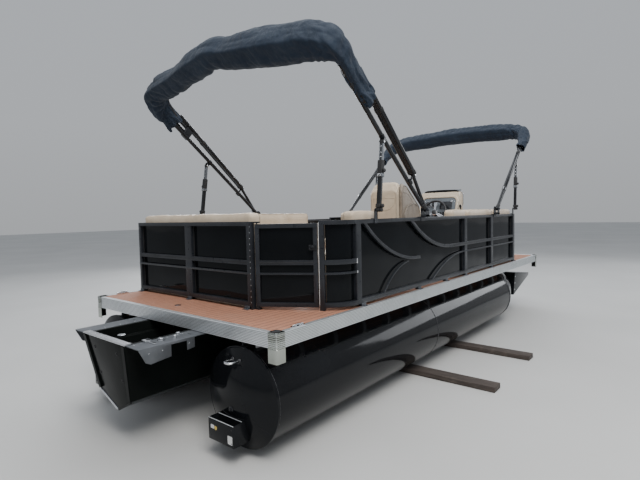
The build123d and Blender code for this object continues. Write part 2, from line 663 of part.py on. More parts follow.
for nm, fy, dr_, mo, co, mi, br, gap, sy0, sy1 in BIMINIS:
    th = radians(LEAN)
    if dr_ < 0:
        bp = Plane(origin=(0, fy, PIV_Z), x_dir=(1, 0, 0), z_dir=(0, -sin(th), -cos(th)))
        up = -1
    else:
        bp = Plane(origin=(0, fy, PIV_Z), x_dir=(1, 0, 0), z_dir=(0, -sin(th), cos(th)))
        up = 1

    def P(x, s, n):
        return bp.from_local_coords((x, s, up * n))

    knee = gap * 0.72
    with BuildPart() as bows:
        for sx in (-1, 1):
            rod(P(sx * ARM_X, -16, 0), P(sx * ARM_TOP_X, mo + 70, 0), ARM_R)
            rod(P(sx * ARM_X, 60, 8), P(sx * (ARM_X - 2), 400, knee), ARM_R)
            rod(P(sx * (ARM_X - 2), 385, knee - 1), P(sx * ARM_TOP_X, mo + 70, gap), ARM_R + 1)
            # outer sleeve of the upper tube
            g0 = knee + (gap - knee) * 0.08
            g1 = knee + (gap - knee) * 0.80
            rod(P(sx * (ARM_X - 3), 470, g0), P(sx * (ARM_TOP_X + 1), mo - 130, g1), ARM_R + 6)
            # links between the two tubes
            rod(P(sx * (ARM_X - 2), 400, 0), P(sx * (ARM_X - 2), 400, knee), 9)
            rod(P(sx * (ARM_TOP_X + 1), mo - 60, 0), P(sx * (ARM_TOP_X + 1), mo - 60, gap), 9)
            # eye on the foot pin
            with BuildSketch(Plane.YZ.offset(sx * ARM_X - 13)):
                with Locations((fy, PIV_Z)):
                    Circle(22)
            extrude(amount=26)
            with BuildSketch(Plane.YZ.offset(sx * ARM_X - 40)):
                with Locations((fy, PIV_Z)):
                    Circle(5.06)
            extrude(amount=80, mode=Mode.SUBTRACT)
    save(bows, f"bimini_{nm}_bows")

    with BuildPart() as boot:
        cn = gap / 2 + 22
        with BuildLine(bp.offset(up * cn)) as path:
            FilletPolyline((ARM_TOP_X - 3, co - 250), (BOOT_X, co), (0, mi), (-BOOT_X, co), (-ARM_TOP_X + 3, co - 250),
                           radius=[br + 30, 3000, br + 30])
        with BuildSketch(Plane(origin=path.line @ 0, z_dir=path.line % 0)):
            Circle(br)
        sweep(path=path.line)
        for sx in (-1, 1):
            pa = Vector(*P(sx * (ARM_TOP_X - 3), mo, gap / 2))
            pb = Vector(*P(sx * (ARM_TOP_X - 3), co - 200, cn))
            with BuildSketch(Plane(origin=pa, x_dir=(1, 0, 0), z_dir=pb - pa)):
                Ellipse(50, gap / 2 + 32)
            with BuildSketch(Plane(origin=pb, x_dir=(1, 0, 0), z_dir=pb - pa)):
                Circle(br - 6)
            loft()
    save(boot, f"bimini_{nm}_boot")

    # struts from the rail up to just under the arm
    for side, sx in (("port", -1), ("starboard", 1)):
        ztop = PIV_Z + abs(sy1 - fy) * tan(th) - 41
        xt = ARM_X - (ARM_X - ARM_TOP_X) * (abs(sy1 - fy) / cos(th)) / (mo + 70)
        foot_p = Vector(sx * ARM_X, sy0, PIV_Z)
        top_p = Vector(sx * xt, sy1, ztop)
        v = (top_p - foot_p)
        with BuildPart() as strut:
            rod(foot_p, (foot_p + v * 0.72), 14)
            rod((foot_p + v * 0.70), top_p, 10)
            rod((foot_p + v * 0.66), (foot_p + v * 0.735), 19)
            with BuildSketch(Plane.YZ.offset(sx * ARM_X - 13)):
                with Locations((sy0, PIV_Z)):
                    Circle(17)
            extrude(amount=26)
            with BuildSketch(Plane.YZ.offset(sx * ARM_X - 40)):
                with Locations((sy0, PIV_Z)):
                    Circle(5.06)
            extrude(amount=80, mode=Mode.SUBTRACT)
        save(strut, f"strut_{nm}_{side}")

print("done")
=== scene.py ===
import bpy, bmesh, json, random
from math import sin, cos, tan, radians, pi, sqrt, atan2, hypot
import numpy as np
from mathutils import Vector, Matrix, noise
from mathutils.bvhtree import BVHTree


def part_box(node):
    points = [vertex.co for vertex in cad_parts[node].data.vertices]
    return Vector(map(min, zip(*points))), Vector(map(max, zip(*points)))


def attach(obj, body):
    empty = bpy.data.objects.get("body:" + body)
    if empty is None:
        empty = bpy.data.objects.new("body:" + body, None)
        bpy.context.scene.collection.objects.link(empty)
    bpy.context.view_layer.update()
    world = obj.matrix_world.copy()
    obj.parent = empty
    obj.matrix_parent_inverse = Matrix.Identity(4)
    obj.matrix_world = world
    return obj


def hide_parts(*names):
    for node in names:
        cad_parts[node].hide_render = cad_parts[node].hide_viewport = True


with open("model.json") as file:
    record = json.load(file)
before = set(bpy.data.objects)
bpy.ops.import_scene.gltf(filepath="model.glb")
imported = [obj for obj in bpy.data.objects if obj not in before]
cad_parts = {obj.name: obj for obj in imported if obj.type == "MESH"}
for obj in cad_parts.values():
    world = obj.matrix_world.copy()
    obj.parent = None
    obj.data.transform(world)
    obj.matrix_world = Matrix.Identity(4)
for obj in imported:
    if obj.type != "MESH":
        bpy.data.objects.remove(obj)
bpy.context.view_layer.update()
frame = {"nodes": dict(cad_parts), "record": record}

random.seed(7)
NODES = frame["nodes"]
BODY = {n: b for b, ns in frame["record"]["behaviour"]["bodies"].items() for n in ns}
SLOT = {s["node"]: s["material_slot"] for s in frame["record"]["subparts"]}


# ---------------------------------------------------------------------------
# Materials: every one is a small node graph on the piece's own coordinates
# ---------------------------------------------------------------------------
class Mat:
    def __init__(self, name):
        self.m = bpy.data.materials.new(name)
        self.m.use_nodes = True
        self.nt = self.m.node_tree
        self.b = [n for n in self.nt.nodes if n.type == "BSDF_PRINCIPLED"][0]
        self.tc = self.nt.nodes.new("ShaderNodeTexCoord")

    def n(self, kind, **kw):
        nd = self.nt.nodes.new(kind)
        for k, v in kw.items():
            setattr(nd, k, v)
        return nd

    def link(self, a, b):
        self.nt.links.new(a, b)

    def vec(self, scale=(1, 1, 1), rot=(0, 0, 0), loc=(0, 0, 0)):
        mp = self.n("ShaderNodeMapping")
        mp.inputs["Scale"].default_value = scale
        mp.inputs["Rotation"].default_value = rot
        mp.inputs["Location"].default_value = loc
        self.link(self.tc.outputs["Object"], mp.inputs["Vector"])
        return mp.outputs["Vector"]

    def noise(self, scale, detail=4.0, rough=0.5, vec=None, dist=0.0):
        nd = self.n("ShaderNodeTexNoise")
        nd.inputs["Scale"].default_value = scale
        nd.inputs["Detail"].default_value = detail
        nd.inputs["Roughness"].default_value = rough
        nd.inputs["Distortion"].default_value = dist
        self.link(vec if vec is not None else self.vec(), nd.inputs["Vector"])
        return nd.outputs["Fac"]

    def wave(self, scale, axis="X", vec=None, dist=0.0, dscale=1.0, profile="SIN"):
        nd = self.n("ShaderNodeTexWave", wave_type="BANDS", bands_direction=axis, wave_profile=profile)
        nd.inputs["Scale"].default_value = scale
        nd.inputs["Distortion"].default_value = dist
        nd.inputs["Detail"].default_value = 2.0
        nd.inputs["Detail Scale"].default_value = dscale
        self.link(vec if vec is not None else self.vec(), nd.inputs["Vector"])
        return nd.outputs["Fac"]

    def voro(self, scale, feature="DISTANCE_TO_EDGE", vec=None, rnd=1.0):
        nd = self.n("ShaderNodeTexVoronoi", feature=feature)
        nd.inputs["Scale"].default_value = scale
        nd.inputs["Randomness"].default_value = rnd
        self.link(vec if vec is not None else self.vec(), nd.inputs["Vector"])
        return nd.outputs["Distance"]

    def ramp(self, fac, stops, interp="LINEAR"):
        nd = self.n("ShaderNodeValToRGB")
        nd.color_ramp.interpolation = interp
        el = nd.color_ramp.elements
        while len(el) < len(stops):
            el.new(0.5)
        for e, (p, c) in zip(el, stops):
            e.position = p
            e.color = (c[0], c[1], c[2], 1.0) if hasattr(c, "__len__") else (c, c, c, 1.0)
        self.link(fac, nd.inputs["Fac"])
        return nd.outputs["Color"]

    def rng(self, fac, a, b, c, d):
        nd = self.n("ShaderNodeMapRange")
        for k, v in zip(("From Min", "From Max", "To Min", "To Max"), (a, b, c, d)):
            nd.inputs[k].default_value = v
        self.link(fac, nd.inputs["Value"])
        return nd.outputs["Result"]

    def math(self, op, a, b=None, clamp=False):
        nd = self.n("ShaderNodeMath", operation=op, use_clamp=clamp)
        for i, v in enumerate((a, b)):
            if v is None:
                continue
            if isinstance(v, (int, float)):
                nd.inputs[i].default_value = v
            else:
                self.link(v, nd.inputs[i])
        return nd.outputs["Value"]

    def mix(self, fac, a, b, blend="MIX"):
        nd = self.n("ShaderNodeMix", data_type="RGBA", blend_type=blend)
        for k, v in ((0, fac), (6, a), (7, b)):
            if isinstance(v, (int, float)):
                nd.inputs[k].default_value = v
            elif isinstance(v, tuple):
                nd.inputs[k].default_value = (*v, 1.0)
            else:
                self.link(v, nd.inputs[k])
        return nd.outputs[2]

    def bump(self, height, strength=0.3, distance=0.001, normal=None):
        nd = self.n("ShaderNodeBump")
        nd.inputs["Strength"].default_value = strength
        nd.inputs["Distance"].default_value = distance
        self.link(height, nd.inputs["Height"])
        if normal is not None:
            self.link(normal, nd.inputs["Normal"])
        return nd.outputs["Normal"]

    def set(self, color=None, rough=None, normal=None, **consts):
        for sock, v in (("Base Color", color), ("Roughness", rough), ("Normal", normal)):
            if v is not None:
                self.link(v, self.b.inputs[sock])
        for k, v in consts.items():
            self.b.inputs[k.replace("_", " ")].default_value = v
        return self.m

    def geo(self, out):
        return self.n("ShaderNodeNewGeometry").outputs[out]

    def sep(self, vec=None):
        nd = self.n("ShaderNodeSeparateXYZ")
        self.link(vec if vec is not None else self.tc.outputs["Object"], nd.inputs["Vector"])
        return nd.outputs


def gloss_black(name, tint=(0.006, 0.0065, 0.008), tint2=(0.013, 0.014, 0.017), r0=0.06, r1=0.16, wave=0.25, wscale=2.2,
                dust=0.10, spec=0.20, ior=1.45):
    m = Mat(name)
    big = m.noise(1.6, 3)
    fine = m.noise(70, 5, 0.6)
    col = m.ramp(big, [(0.3, tint), (0.75, tint2)])
    # settled dust, more on faces that look up
    up = m.sep(m.geo("Normal"))[2]
    d = m.math("MULTIPLY", m.rng(up, -0.2, 1.0, 0.15, 1.0), m.rng(m.noise(24, 6, 0.7), 0.35, 0.8, 0.0, dust))
    col = m.mix(d, col, (0.10, 0.095, 0.085))
    rough = m.math("ADD", m.rng(m.noise(9, 5, 0.6), 0.3, 0.75, r0, r1), m.math("MULTIPLY", d, 1.2))
    nrm = m.bump(m.noise(wscale, 1.0, 0.4), wave, 0.012)
    nrm = m.bump(fine, 0.05, 0.0004, nrm)
    return m.set(col, rough, nrm, Coat_Weight=0.0, IOR=ior, Specular_IOR_Level=spec)


def rail_paint(name, c0, c1, rough=(0.25, 0.4)):
    m = Mat(name)
    col = m.ramp(m.noise(5, 4), [(0.3, c0), (0.7, c1)])
    edge = m.rng(m.noise(160, 3, 0.7), 0.6, 0.8, 0.0, 0.25)
    col = m.mix(edge, col, tuple(min(1, v * 2.2 + 0.01) for v in c1))
    nrm = m.bump(m.noise(420, 3, 0.6), 0.22, 0.0004)
    nrm = m.bump(m.noise(6, 2), 0.08, 0.004, nrm)
    return m.set(col, m.rng(m.noise(30, 5), 0.3, 0.7, *rough), nrm, Coat_Weight=0.04, Coat_Roughness=0.2, Specular_IOR_Level=0.32)


def metal(name, c0, c1, rough, stretch=(1, 1, 1), brush=900.0, strength=0.12, metallic=1.0, stain=0.0):
    m = Mat(name)
    col = m.ramp(m.noise(4, 5, 0.6), [(0.25, c0), (0.75, c1)])
    if stain:
        col = m.mix(m.rng(m.noise(14, 6, 0.7), 0.52, 0.75, 0.0, stain), col, (0.10, 0.09, 0.08))
    v = m.vec(stretch)
    br = m.noise(brush, 3, 0.5, v)
    nrm = m.bump(br, strength, 0.0003)
    nrm = m.bump(m.noise(5, 2), 0.05, 0.004, nrm)
    rr = m.math("ADD", m.rng(m.noise(18, 5), 0.3, 0.75, *rough), m.math("MULTIPLY", br, 0.05))
    return m.set(col, rr, nrm, Metallic=metallic)


def vinyl(name, c0, c1, c2, grain=420.0, rough=(0.36, 0.5)):
    m = Mat(name)
    mott = m.noise(7, 5, 0.6)
    col = m.ramp(mott, [(0.25, c0), (0.55, c1), (0.85, c2)])
    pores = m.voro(grain)
    col = m.mix(m.rng(pores, 0.0, 0.12, 0.22, 0.0), col, tuple(v * 0.55 for v in c0))
    # handling marks
    col = m.mix(m.rng(m.noise(3.1, 6, 0.7), 0.56, 0.8, 0.0, 0.22), col, tuple(v * 0.72 for v in c1))
    nrm = m.bump(m.rng(pores, 0.0, 0.3, 0.0, 1.0), 0.35, 0.0005)
    nrm = m.bump(m.noise(55, 4, 0.6), 0.12, 0.0025, nrm)
    return m.set(col, m.rng(m.noise(26, 4), 0.3, 0.7, *rough), nrm, Sheen_Weight=0.05, Specular_IOR_Level=0.45)


def canvas(name, c0, c1, c2):
    m = Mat(name)
    v = m.vec((1, 1, 1), (0.3, 0.2, 0.6))
    big = m.noise(2.6, 6, 0.65)
    col = m.ramp(big, [(0.25, c0), (0.55, c1), (0.9, c2)])
    wa = m.wave(210, "X", v, 0.4, 3)
    wb = m.wave(210, "Z", v, 0.4, 3)
    weave = m.math("MULTIPLY", m.math("ADD", wa, 0.25), m.math("ADD", wb, 0.25))
    col = m.mix(m.rng(weave, 0.0, 1.0, 0.35, 0.0), col, tuple(x * 0.4 for x in c0))
    # dust in the upper folds, streaks down the flanks
    up = m.sep(m.geo("Normal"))[2]
    dust = m.math("MULTIPLY", m.rng(up, 0.0, 1.0, 0.0, 1.0), m.rng(m.noise(11, 6, 0.7), 0.3, 0.8, 0.10, 0.45))
    col = m.mix(dust, col, (0.050, 0.060, 0.074))
    streak = m.rng(m.noise(4, 5, 0.6, m.vec((9, 9, 1.2))), 0.5, 0.8, 0.0, 0.35)
    col = m.mix(streak, col, tuple(x * 0.5 for x in c0))
    crease = m.noise(15, 5, 0.6, None, 0.6)
    nrm = m.bump(weave, 0.35, 0.0006)
    nrm = m.bump(crease, 0.60, 0.011, nrm)
    nrm = m.bump(m.noise(6.5, 4, 0.55, m.vec((3.2, 1.0, 1.0)), 0.9), 0.45, 0.020, nrm)
    return m.set(col, m.rng(m.noise(20, 4), 0.3, 0.7, 0.62, 0.85), nrm, Sheen_Weight=0.05, Sheen_Roughness=0.5,
                 Specular_IOR_Level=0.25)


def deck_planks(name):
    m = Mat(name)
    x, y, z = m.sep()
    # woven flooring printed as narrow planks that run fore and aft, 60 mm pitch
    ph = m.math("FRACT", m.math("MULTIPLY", m.math("ADD", x, 30.0), 1 / 0.06))
    ln = m.math("LESS_THAN", m.math("ABSOLUTE", m.math("SUBTRACT", ph, 0.5)), 0.055)
    idx = m.math("FLOOR", m.math("MULTIPLY", m.math("ADD", x, 30.0), 1 / 0.06))
    wn = m.n("ShaderNodeTexWhiteNoise", noise_dimensions="1D")
    m.link(idx, wn.inputs["W"])
    grain = m.noise(9, 6, 0.65, m.vec((14, 0.7, 1)))
    tone = m.ramp(grain, [(0.25, (0.30, 0.135, 0.085)), (0.5, (0.43, 0.205, 0.13)), (0.8, (0.53, 0.28, 0.185))])
    tone = m.mix(m.rng(wn.outputs["Value"], 0.0, 1.0, 0.0, 0.22), tone, (0.32, 0.15, 0.10))
    wx = m.wave(170, "X")
    wy = m.wave(170, "Y")
    weave = m.math("MULTIPLY", m.math("ADD", wx, 0.2), m.math("ADD", wy, 0.2))
    tone = m.mix(m.rng(weave, 0.0, 1.0, 0.25, 0.0), tone, (0.20, 0.085, 0.055))
    scuff = m.rng(m.noise(3, 7, 0.7), 0.55, 0.8, 0.0, 0.3)
    tone = m.mix(scuff, tone, (0.42, 0.30, 0.24))
    col = m.mix(ln, tone, (0.075, 0.045, 0.038))
    h = m.math("SUBTRACT", m.math("MULTIPLY", weave, 0.35), m.math("MULTIPLY", ln, 1.0))
    nrm = m.bump(h, 0.5, 0.0012)
    return m.set(col, m.rng(m.noise(40, 4), 0.3, 0.7, 0.5, 0.72), nrm, Specular_IOR_Level=0.35)


def moulded(name, c0, c1, rough=(0.35, 0.5), grain=260.0, strength=0.25):
    m = Mat(name)
    col = m.ramp(m.noise(4, 5, 0.6), [(0.25, c0), (0.8, c1)])
    col = m.mix(m.rng(m.noise(320, 2), 0.62, 0.8, 0.0, 0.3), col, tuple(v * 0.6 for v in c0))
    nrm = m.bump(m.noise(grain, 4, 0.6), strength, 0.0006)
    nrm = m.bump(m.noise(7, 2), 0.06, 0.004, nrm)
    return m.set(col, m.rng(m.noise(22, 4), 0.3, 0.7, *rough), nrm)


def plank_wood(name):
    m = Mat(name)
    g = m.noise(5, 7, 0.65, m.vec((0.7, 14, 14)))
    col = m.ramp(g, [(0.25, (0.022, 0.016, 0.013)), (0.5, (0.05, 0.038, 0.032)), (0.8, (0.11, 0.088, 0.075))])
    col = m.mix(m.rng(m.noise(9, 6, 0.7), 0.5, 0.8, 0.0, 0.5), col, (0.16, 0.13, 0.11))
    nrm = m.bump(g, 0.6, 0.004)
    nrm = m.bump(m.noise(120, 4, 0.7), 0.3, 0.001, nrm)
    return m.set(col, m.rng(g, 0.2, 0.8, 0.65, 0.9), nrm)


def acrylic(name):
    m = Mat(name)
    col = m.ramp(m.noise(3, 3), [(0.3, (0.86, 0.90, 0.92)), (0.7, (0.93, 0.95, 0.96))])
    smear = m.noise(8, 6, 0.7)
    return m.set(col, m.rng(smear, 0.4, 0.8, 0.02, 0.10), m.bump(m.noise(6, 2), 0.04, 0.004), Transmission_Weight=1.0,
                 IOR=1.45)


def dial(name, c0=(0.008, 0.009, 0.011), c1=(0.03, 0.032, 0.036)):
    m = Mat(name)
    col = m.ramp(m.noise(30, 3), [(0.3, c0), (0.75, c1)])
    return m.set(col, m.rng(m.noise(60, 4), 0.3, 0.7, 0.05, 0.12), m.bump(m.noise(40, 2), 0.05, 0.0005),
                 Coat_Weight=0.8, Coat_Roughness=0.03)


def webbing(name, c0, c1):
    m = Mat(name)
    v = m.vec((1, 1, 1), (0.2, 0.5, 0.3))
    col = m.ramp(m.noise(18, 5), [(0.3, c0), (0.75, c1)])
    w = m.wave(330, "Z", v, 0.2)
    col = m.mix(m.rng(w, 0, 1, 0.4, 0.0), col, tuple(x * 0.4 for x in c0))
    return m.set(col, m.rng(w, 0, 1, 0.7, 0.85), m.bump(w, 0.5, 0.0006), Sheen_Weight=0.15)


M = {
    "tube_gloss": gloss_black("tube_gloss", (0.004, 0.0045, 0.0055), (0.008, 0.009, 0.011), 0.05, 0.13, dust=0.04, spec=0.48, ior=1.27),
    "panel_gloss": gloss_black("panel_gloss", (0.0035, 0.0042, 0.005), (0.006, 0.0072, 0.009), 0.03, 0.09, 0.30, 2.8, 0.03, 0.45, 1.24),
    "cowl_gloss": gloss_black("cowl_gloss", (0.006, 0.006, 0.007), (0.012, 0.012, 0.014), 0.12, 0.25, 0.1, 3, 0.08),
    "pod_gloss": gloss_black("pod_gloss", (0.004, 0.005, 0.0047), (0.009, 0.011, 0.0105), 0.08, 0.20, 0.35, 3.5, 0.05, 0.40, 1.13),
    "rail_black": rail_paint("rail_black", (0.011, 0.0125, 0.0155), (0.022, 0.0245, 0.030)),
    "rail_grey": rail_paint("rail_grey", (0.045, 0.05, 0.058), (0.075, 0.082, 0.094), (0.28, 0.45)),
    "tube_satin": rail_paint("tube_satin", (0.007, 0.0075, 0.009), (0.014, 0.015, 0.018), (0.14, 0.26)),
    "stainless": metal("stainless", (0.72, 0.73, 0.75), (0.84, 0.85, 0.86), (0.06, 0.16), brush=300, strength=0.06),
    "mill_aluminium": metal("mill_aluminium", (0.42, 0.43, 0.45), (0.62, 0.63, 0.65), (0.32, 0.5), (1, 0.06, 1), 500, 0.2,
                            0.9, 0.35),
    "trim_aluminium": metal("trim_aluminium", (0.66, 0.69, 0.70), (0.76, 0.79, 0.80), (0.26, 0.38), (1, 0.04, 1), 600,
                            0.12, 0.8, 0.0),
    # lighter copy of trim_aluminium with the brush running across: its extra brightness is a painted highlight
    "trim_athwart_painted_highlight": metal("trim_athwart_painted_highlight", (0.82, 0.85, 0.87), (0.90, 0.92, 0.94), (0.26, 0.38), (0.04, 1, 1), 600,
                          0.12, 0.8, 0.0),
    # darker metal for the rib grooves of the trim: painted shade in the recesses
    "trim_groove_painted_shade": metal("trim_groove_painted_shade", (0.24, 0.26, 0.27), (0.33, 0.35, 0.36), (0.4, 0.55), (1, 1, 1), 300, 0.1, 0.7, 0.0),
    # near-black metal for the corner pieces' rib grooves: painted shade in the recesses
    "cap_groove_painted_shade": metal("cap_groove_painted_shade", (0.07, 0.075, 0.07), (0.12, 0.125, 0.115), (0.4, 0.55), (1, 1, 1), 300, 0.1, 0.7, 0.0),
    # olive-tinted chrome: the green is a painted reflection of grass
    "cap_chrome_painted_reflection": metal("cap_chrome_painted_reflection", (0.36, 0.385, 0.35), (0.48, 0.50, 0.46), (0.08, 0.18), brush=300, strength=0.06),
    "weld": metal("weld", (0.008, 0.008, 0.01), (0.03, 0.03, 0.035), (0.2, 0.35), brush=120, strength=0.4, metallic=0.2),
    "silver_paint": metal("silver_paint", (0.50, 0.51, 0.53), (0.66, 0.67, 0.69), (0.22, 0.34), brush=300, strength=0.1,
                          metallic=0.8),
    "grey_bracket": metal("grey_bracket", (0.10, 0.11, 0.12), (0.20, 0.21, 0.23), (0.28, 0.45), brush=160, strength=0.2,
                          metallic=0.6, stain=0.2),
    "deck_teak": deck_planks("deck_teak"),
    "base_plastic": moulded("base_plastic", (0.40, 0.335, 0.255), (0.50, 0.43, 0.34)),
    "console_shell": moulded("console_shell", (0.50, 0.42, 0.32), (0.60, 0.515, 0.405), (0.16, 0.3), 120, 0.12),
    "dash_grey": moulded("dash_grey", (0.10, 0.115, 0.13), (0.16, 0.18, 0.20), (0.3, 0.5)),
    "vinyl_beige": vinyl("vinyl_beige", (0.50, 0.40, 0.29), (0.60, 0.495, 0.37), (0.68, 0.58, 0.45)),
    "vinyl_greige": vinyl("vinyl_greige", (0.20, 0.165, 0.13), (0.27, 0.225, 0.18), (0.34, 0.29, 0.235)),
    "piping": vinyl("piping", (0.15, 0.125, 0.10), (0.20, 0.17, 0.135), (0.26, 0.22, 0.18), 700),
    "canvas": canvas("canvas", (0.013, 0.022, 0.039), (0.020, 0.033, 0.055), (0.029, 0.044, 0.066)),
    "webbing": webbing("webbing", (0.008, 0.008, 0.01), (0.02, 0.02, 0.024)),
    "thread": webbing("thread", (0.30, 0.25, 0.19), (0.42, 0.36, 0.28)),
    "rubber": moulded("rubber", (0.010, 0.010, 0.011), (0.022, 0.022, 0.024), (0.55, 0.75), 500, 0.4),
    "wheel_black": moulded("wheel_black", (0.008, 0.008, 0.009), (0.018, 0.018, 0.02), (0.35, 0.5), 700, 0.5),
    "bearer": plank_wood("bearer"),
    "clear_acrylic": acrylic("clear_acrylic"),
    "dial": dial("dial"),
    "sticker_blank": moulded("sticker_blank", (0.55, 0.55, 0.54), (0.70, 0.70, 0.69), (0.3, 0.45)),
    "hose": moulded("hose", (0.012, 0.012, 0.013), (0.03, 0.03, 0.032), (0.4, 0.6), 300, 0.3),
    "sheath": metal("sheath", (0.35, 0.36, 0.37), (0.55, 0.56, 0.58), (0.25, 0.4), brush=500, strength=0.5, metallic=0.7),
}
CAD_MAT = {"bearer": "bearer", "tube_gloss": "tube_gloss", "stainless": "stainless", "mill_aluminium": "mill_aluminium",
           "trim_aluminium": "trim_aluminium", "deck_teak": "deck_teak", "rail_black": "rail_black",
           "panel_gloss": "panel_gloss", "base_plastic": "base_plastic", "vinyl_beige": "vinyl_beige",
           "vinyl_greige": "vinyl_greige", "console_shell": "console_shell", "clear_acrylic": "clear_acrylic",
           "wheel_black": "wheel_black", "canvas": "canvas"}
NODE_MAT = {"motor_pod": "pod_gloss", "pod_flanges": "grey_bracket", "transom_plate": "silver_paint",
            "bimini_aft_bows": "tube_satin", "bimini_fore_bows": "tube_satin", "strut_aft_port": "tube_satin",
            "strut_aft_starboard": "tube_satin", "strut_fore_port": "tube_satin", "strut_fore_starboard": "tube_satin",
            "steering_column": "cowl_gloss"}
for name, o in NODES.items():
    mt = M[NODE_MAT.get(name, CAD_MAT[SLOT[name]])]
    o.data.materials.clear()
    o.data.materials.append(mt)


# ---------------------------------------------------------------------------
# Mesh helpers
# ---------------------------------------------------------------------------
def finish_mesh(bm, name, mat, body, sharp=34.0, smooth=True, repl=()):
    bmesh.ops.recalc_face_normals(bm, faces=bm.faces)
    for f in bm.faces:
        f.smooth = smooth
    if smooth:
        lim = radians(sharp)
        for e in bm.edges:
            e.smooth = not (len(e.link_faces) != 2 or e.calc_face_angle(0.0) > lim)
    me = bpy.data.meshes.new(name)
    bm.to_mesh(me)
    bm.free()
    me.materials.append(M[mat])
    o = bpy.data.objects.new(name, me)
    bpy.context.scene.collection.objects.link(o)
    if repl:
        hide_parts(*repl)
    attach(o, body)
    return o


def frames_along(pts, closed=False):
    """parallel-transport frames along a list of points"""
    P = [Vector(p) for p in pts]
    n = len(P)
    T = []
    for i in range(n):
        if closed:
            a, b = P[i - 1], P[(i + 1) % n]
        else:
            a, b = P[max(i - 1, 0)], P[min(i + 1, n - 1)]
        T.append((b - a).normalized())
    ref = Vector((0, 0, 1)) if abs(T[0].z) < 0.9 else Vector((1, 0, 0))
    U = [(ref - T[0] * ref.dot(T[0])).normalized()]
    for i in range(1, n):
        u = U[-1] - T[i] * U[-1].dot(T[i])
        U.append(u.normalized())
    V = [t.cross(u) for t, u in zip(T, U)]
    return P, T, U, V


def fillet(pts, r, n=6):
    """polyline with its corners rounded"""
    P = [Vector(p) for p in pts]
    out = [P[0]]
    for i in range(1, len(P) - 1):
        a, b, c = P[i - 1], P[i], P[i + 1]
        d1, d2 = (a - b), (c - b)
        rr = r[i - 1] if hasattr(r, "__len__") else r
        ang = d1.angle(d2)
        k = min(rr / tan(ang / 2), d1.length * 0.49, d2.length * 0.49) if ang < pi - 1e-3 else 0
        if k < 1e-6:
            out.append(b)
            continue
        p1, p2 = b + d1.normalized() * k, b + d2.normalized() * k
        for j in range(n + 1):
            t = j / n
            out.append(p1 * (1 - t) ** 2 + b * 2 * t * (1 - t) + p2 * t ** 2)
    out.append(P[-1])
    return out


def resample(pts, n):
    P = [Vector(p) for p in pts]
    L = [0.0]
    for a, b in zip(P, P[1:]):
        L.append(L[-1] + (b - a).length)
    out = []
    j = 0
    for i in range(n):
        s = L[-1] * i / (n - 1)
        while j < len(P) - 2 and L[j + 1] < s:
            j += 1
        t = (s - L[j]) / max(L[j + 1] - L[j], 1e-9)
        out.append(P[j].lerp(P[j + 1], min(max(t, 0), 1)))
    return out


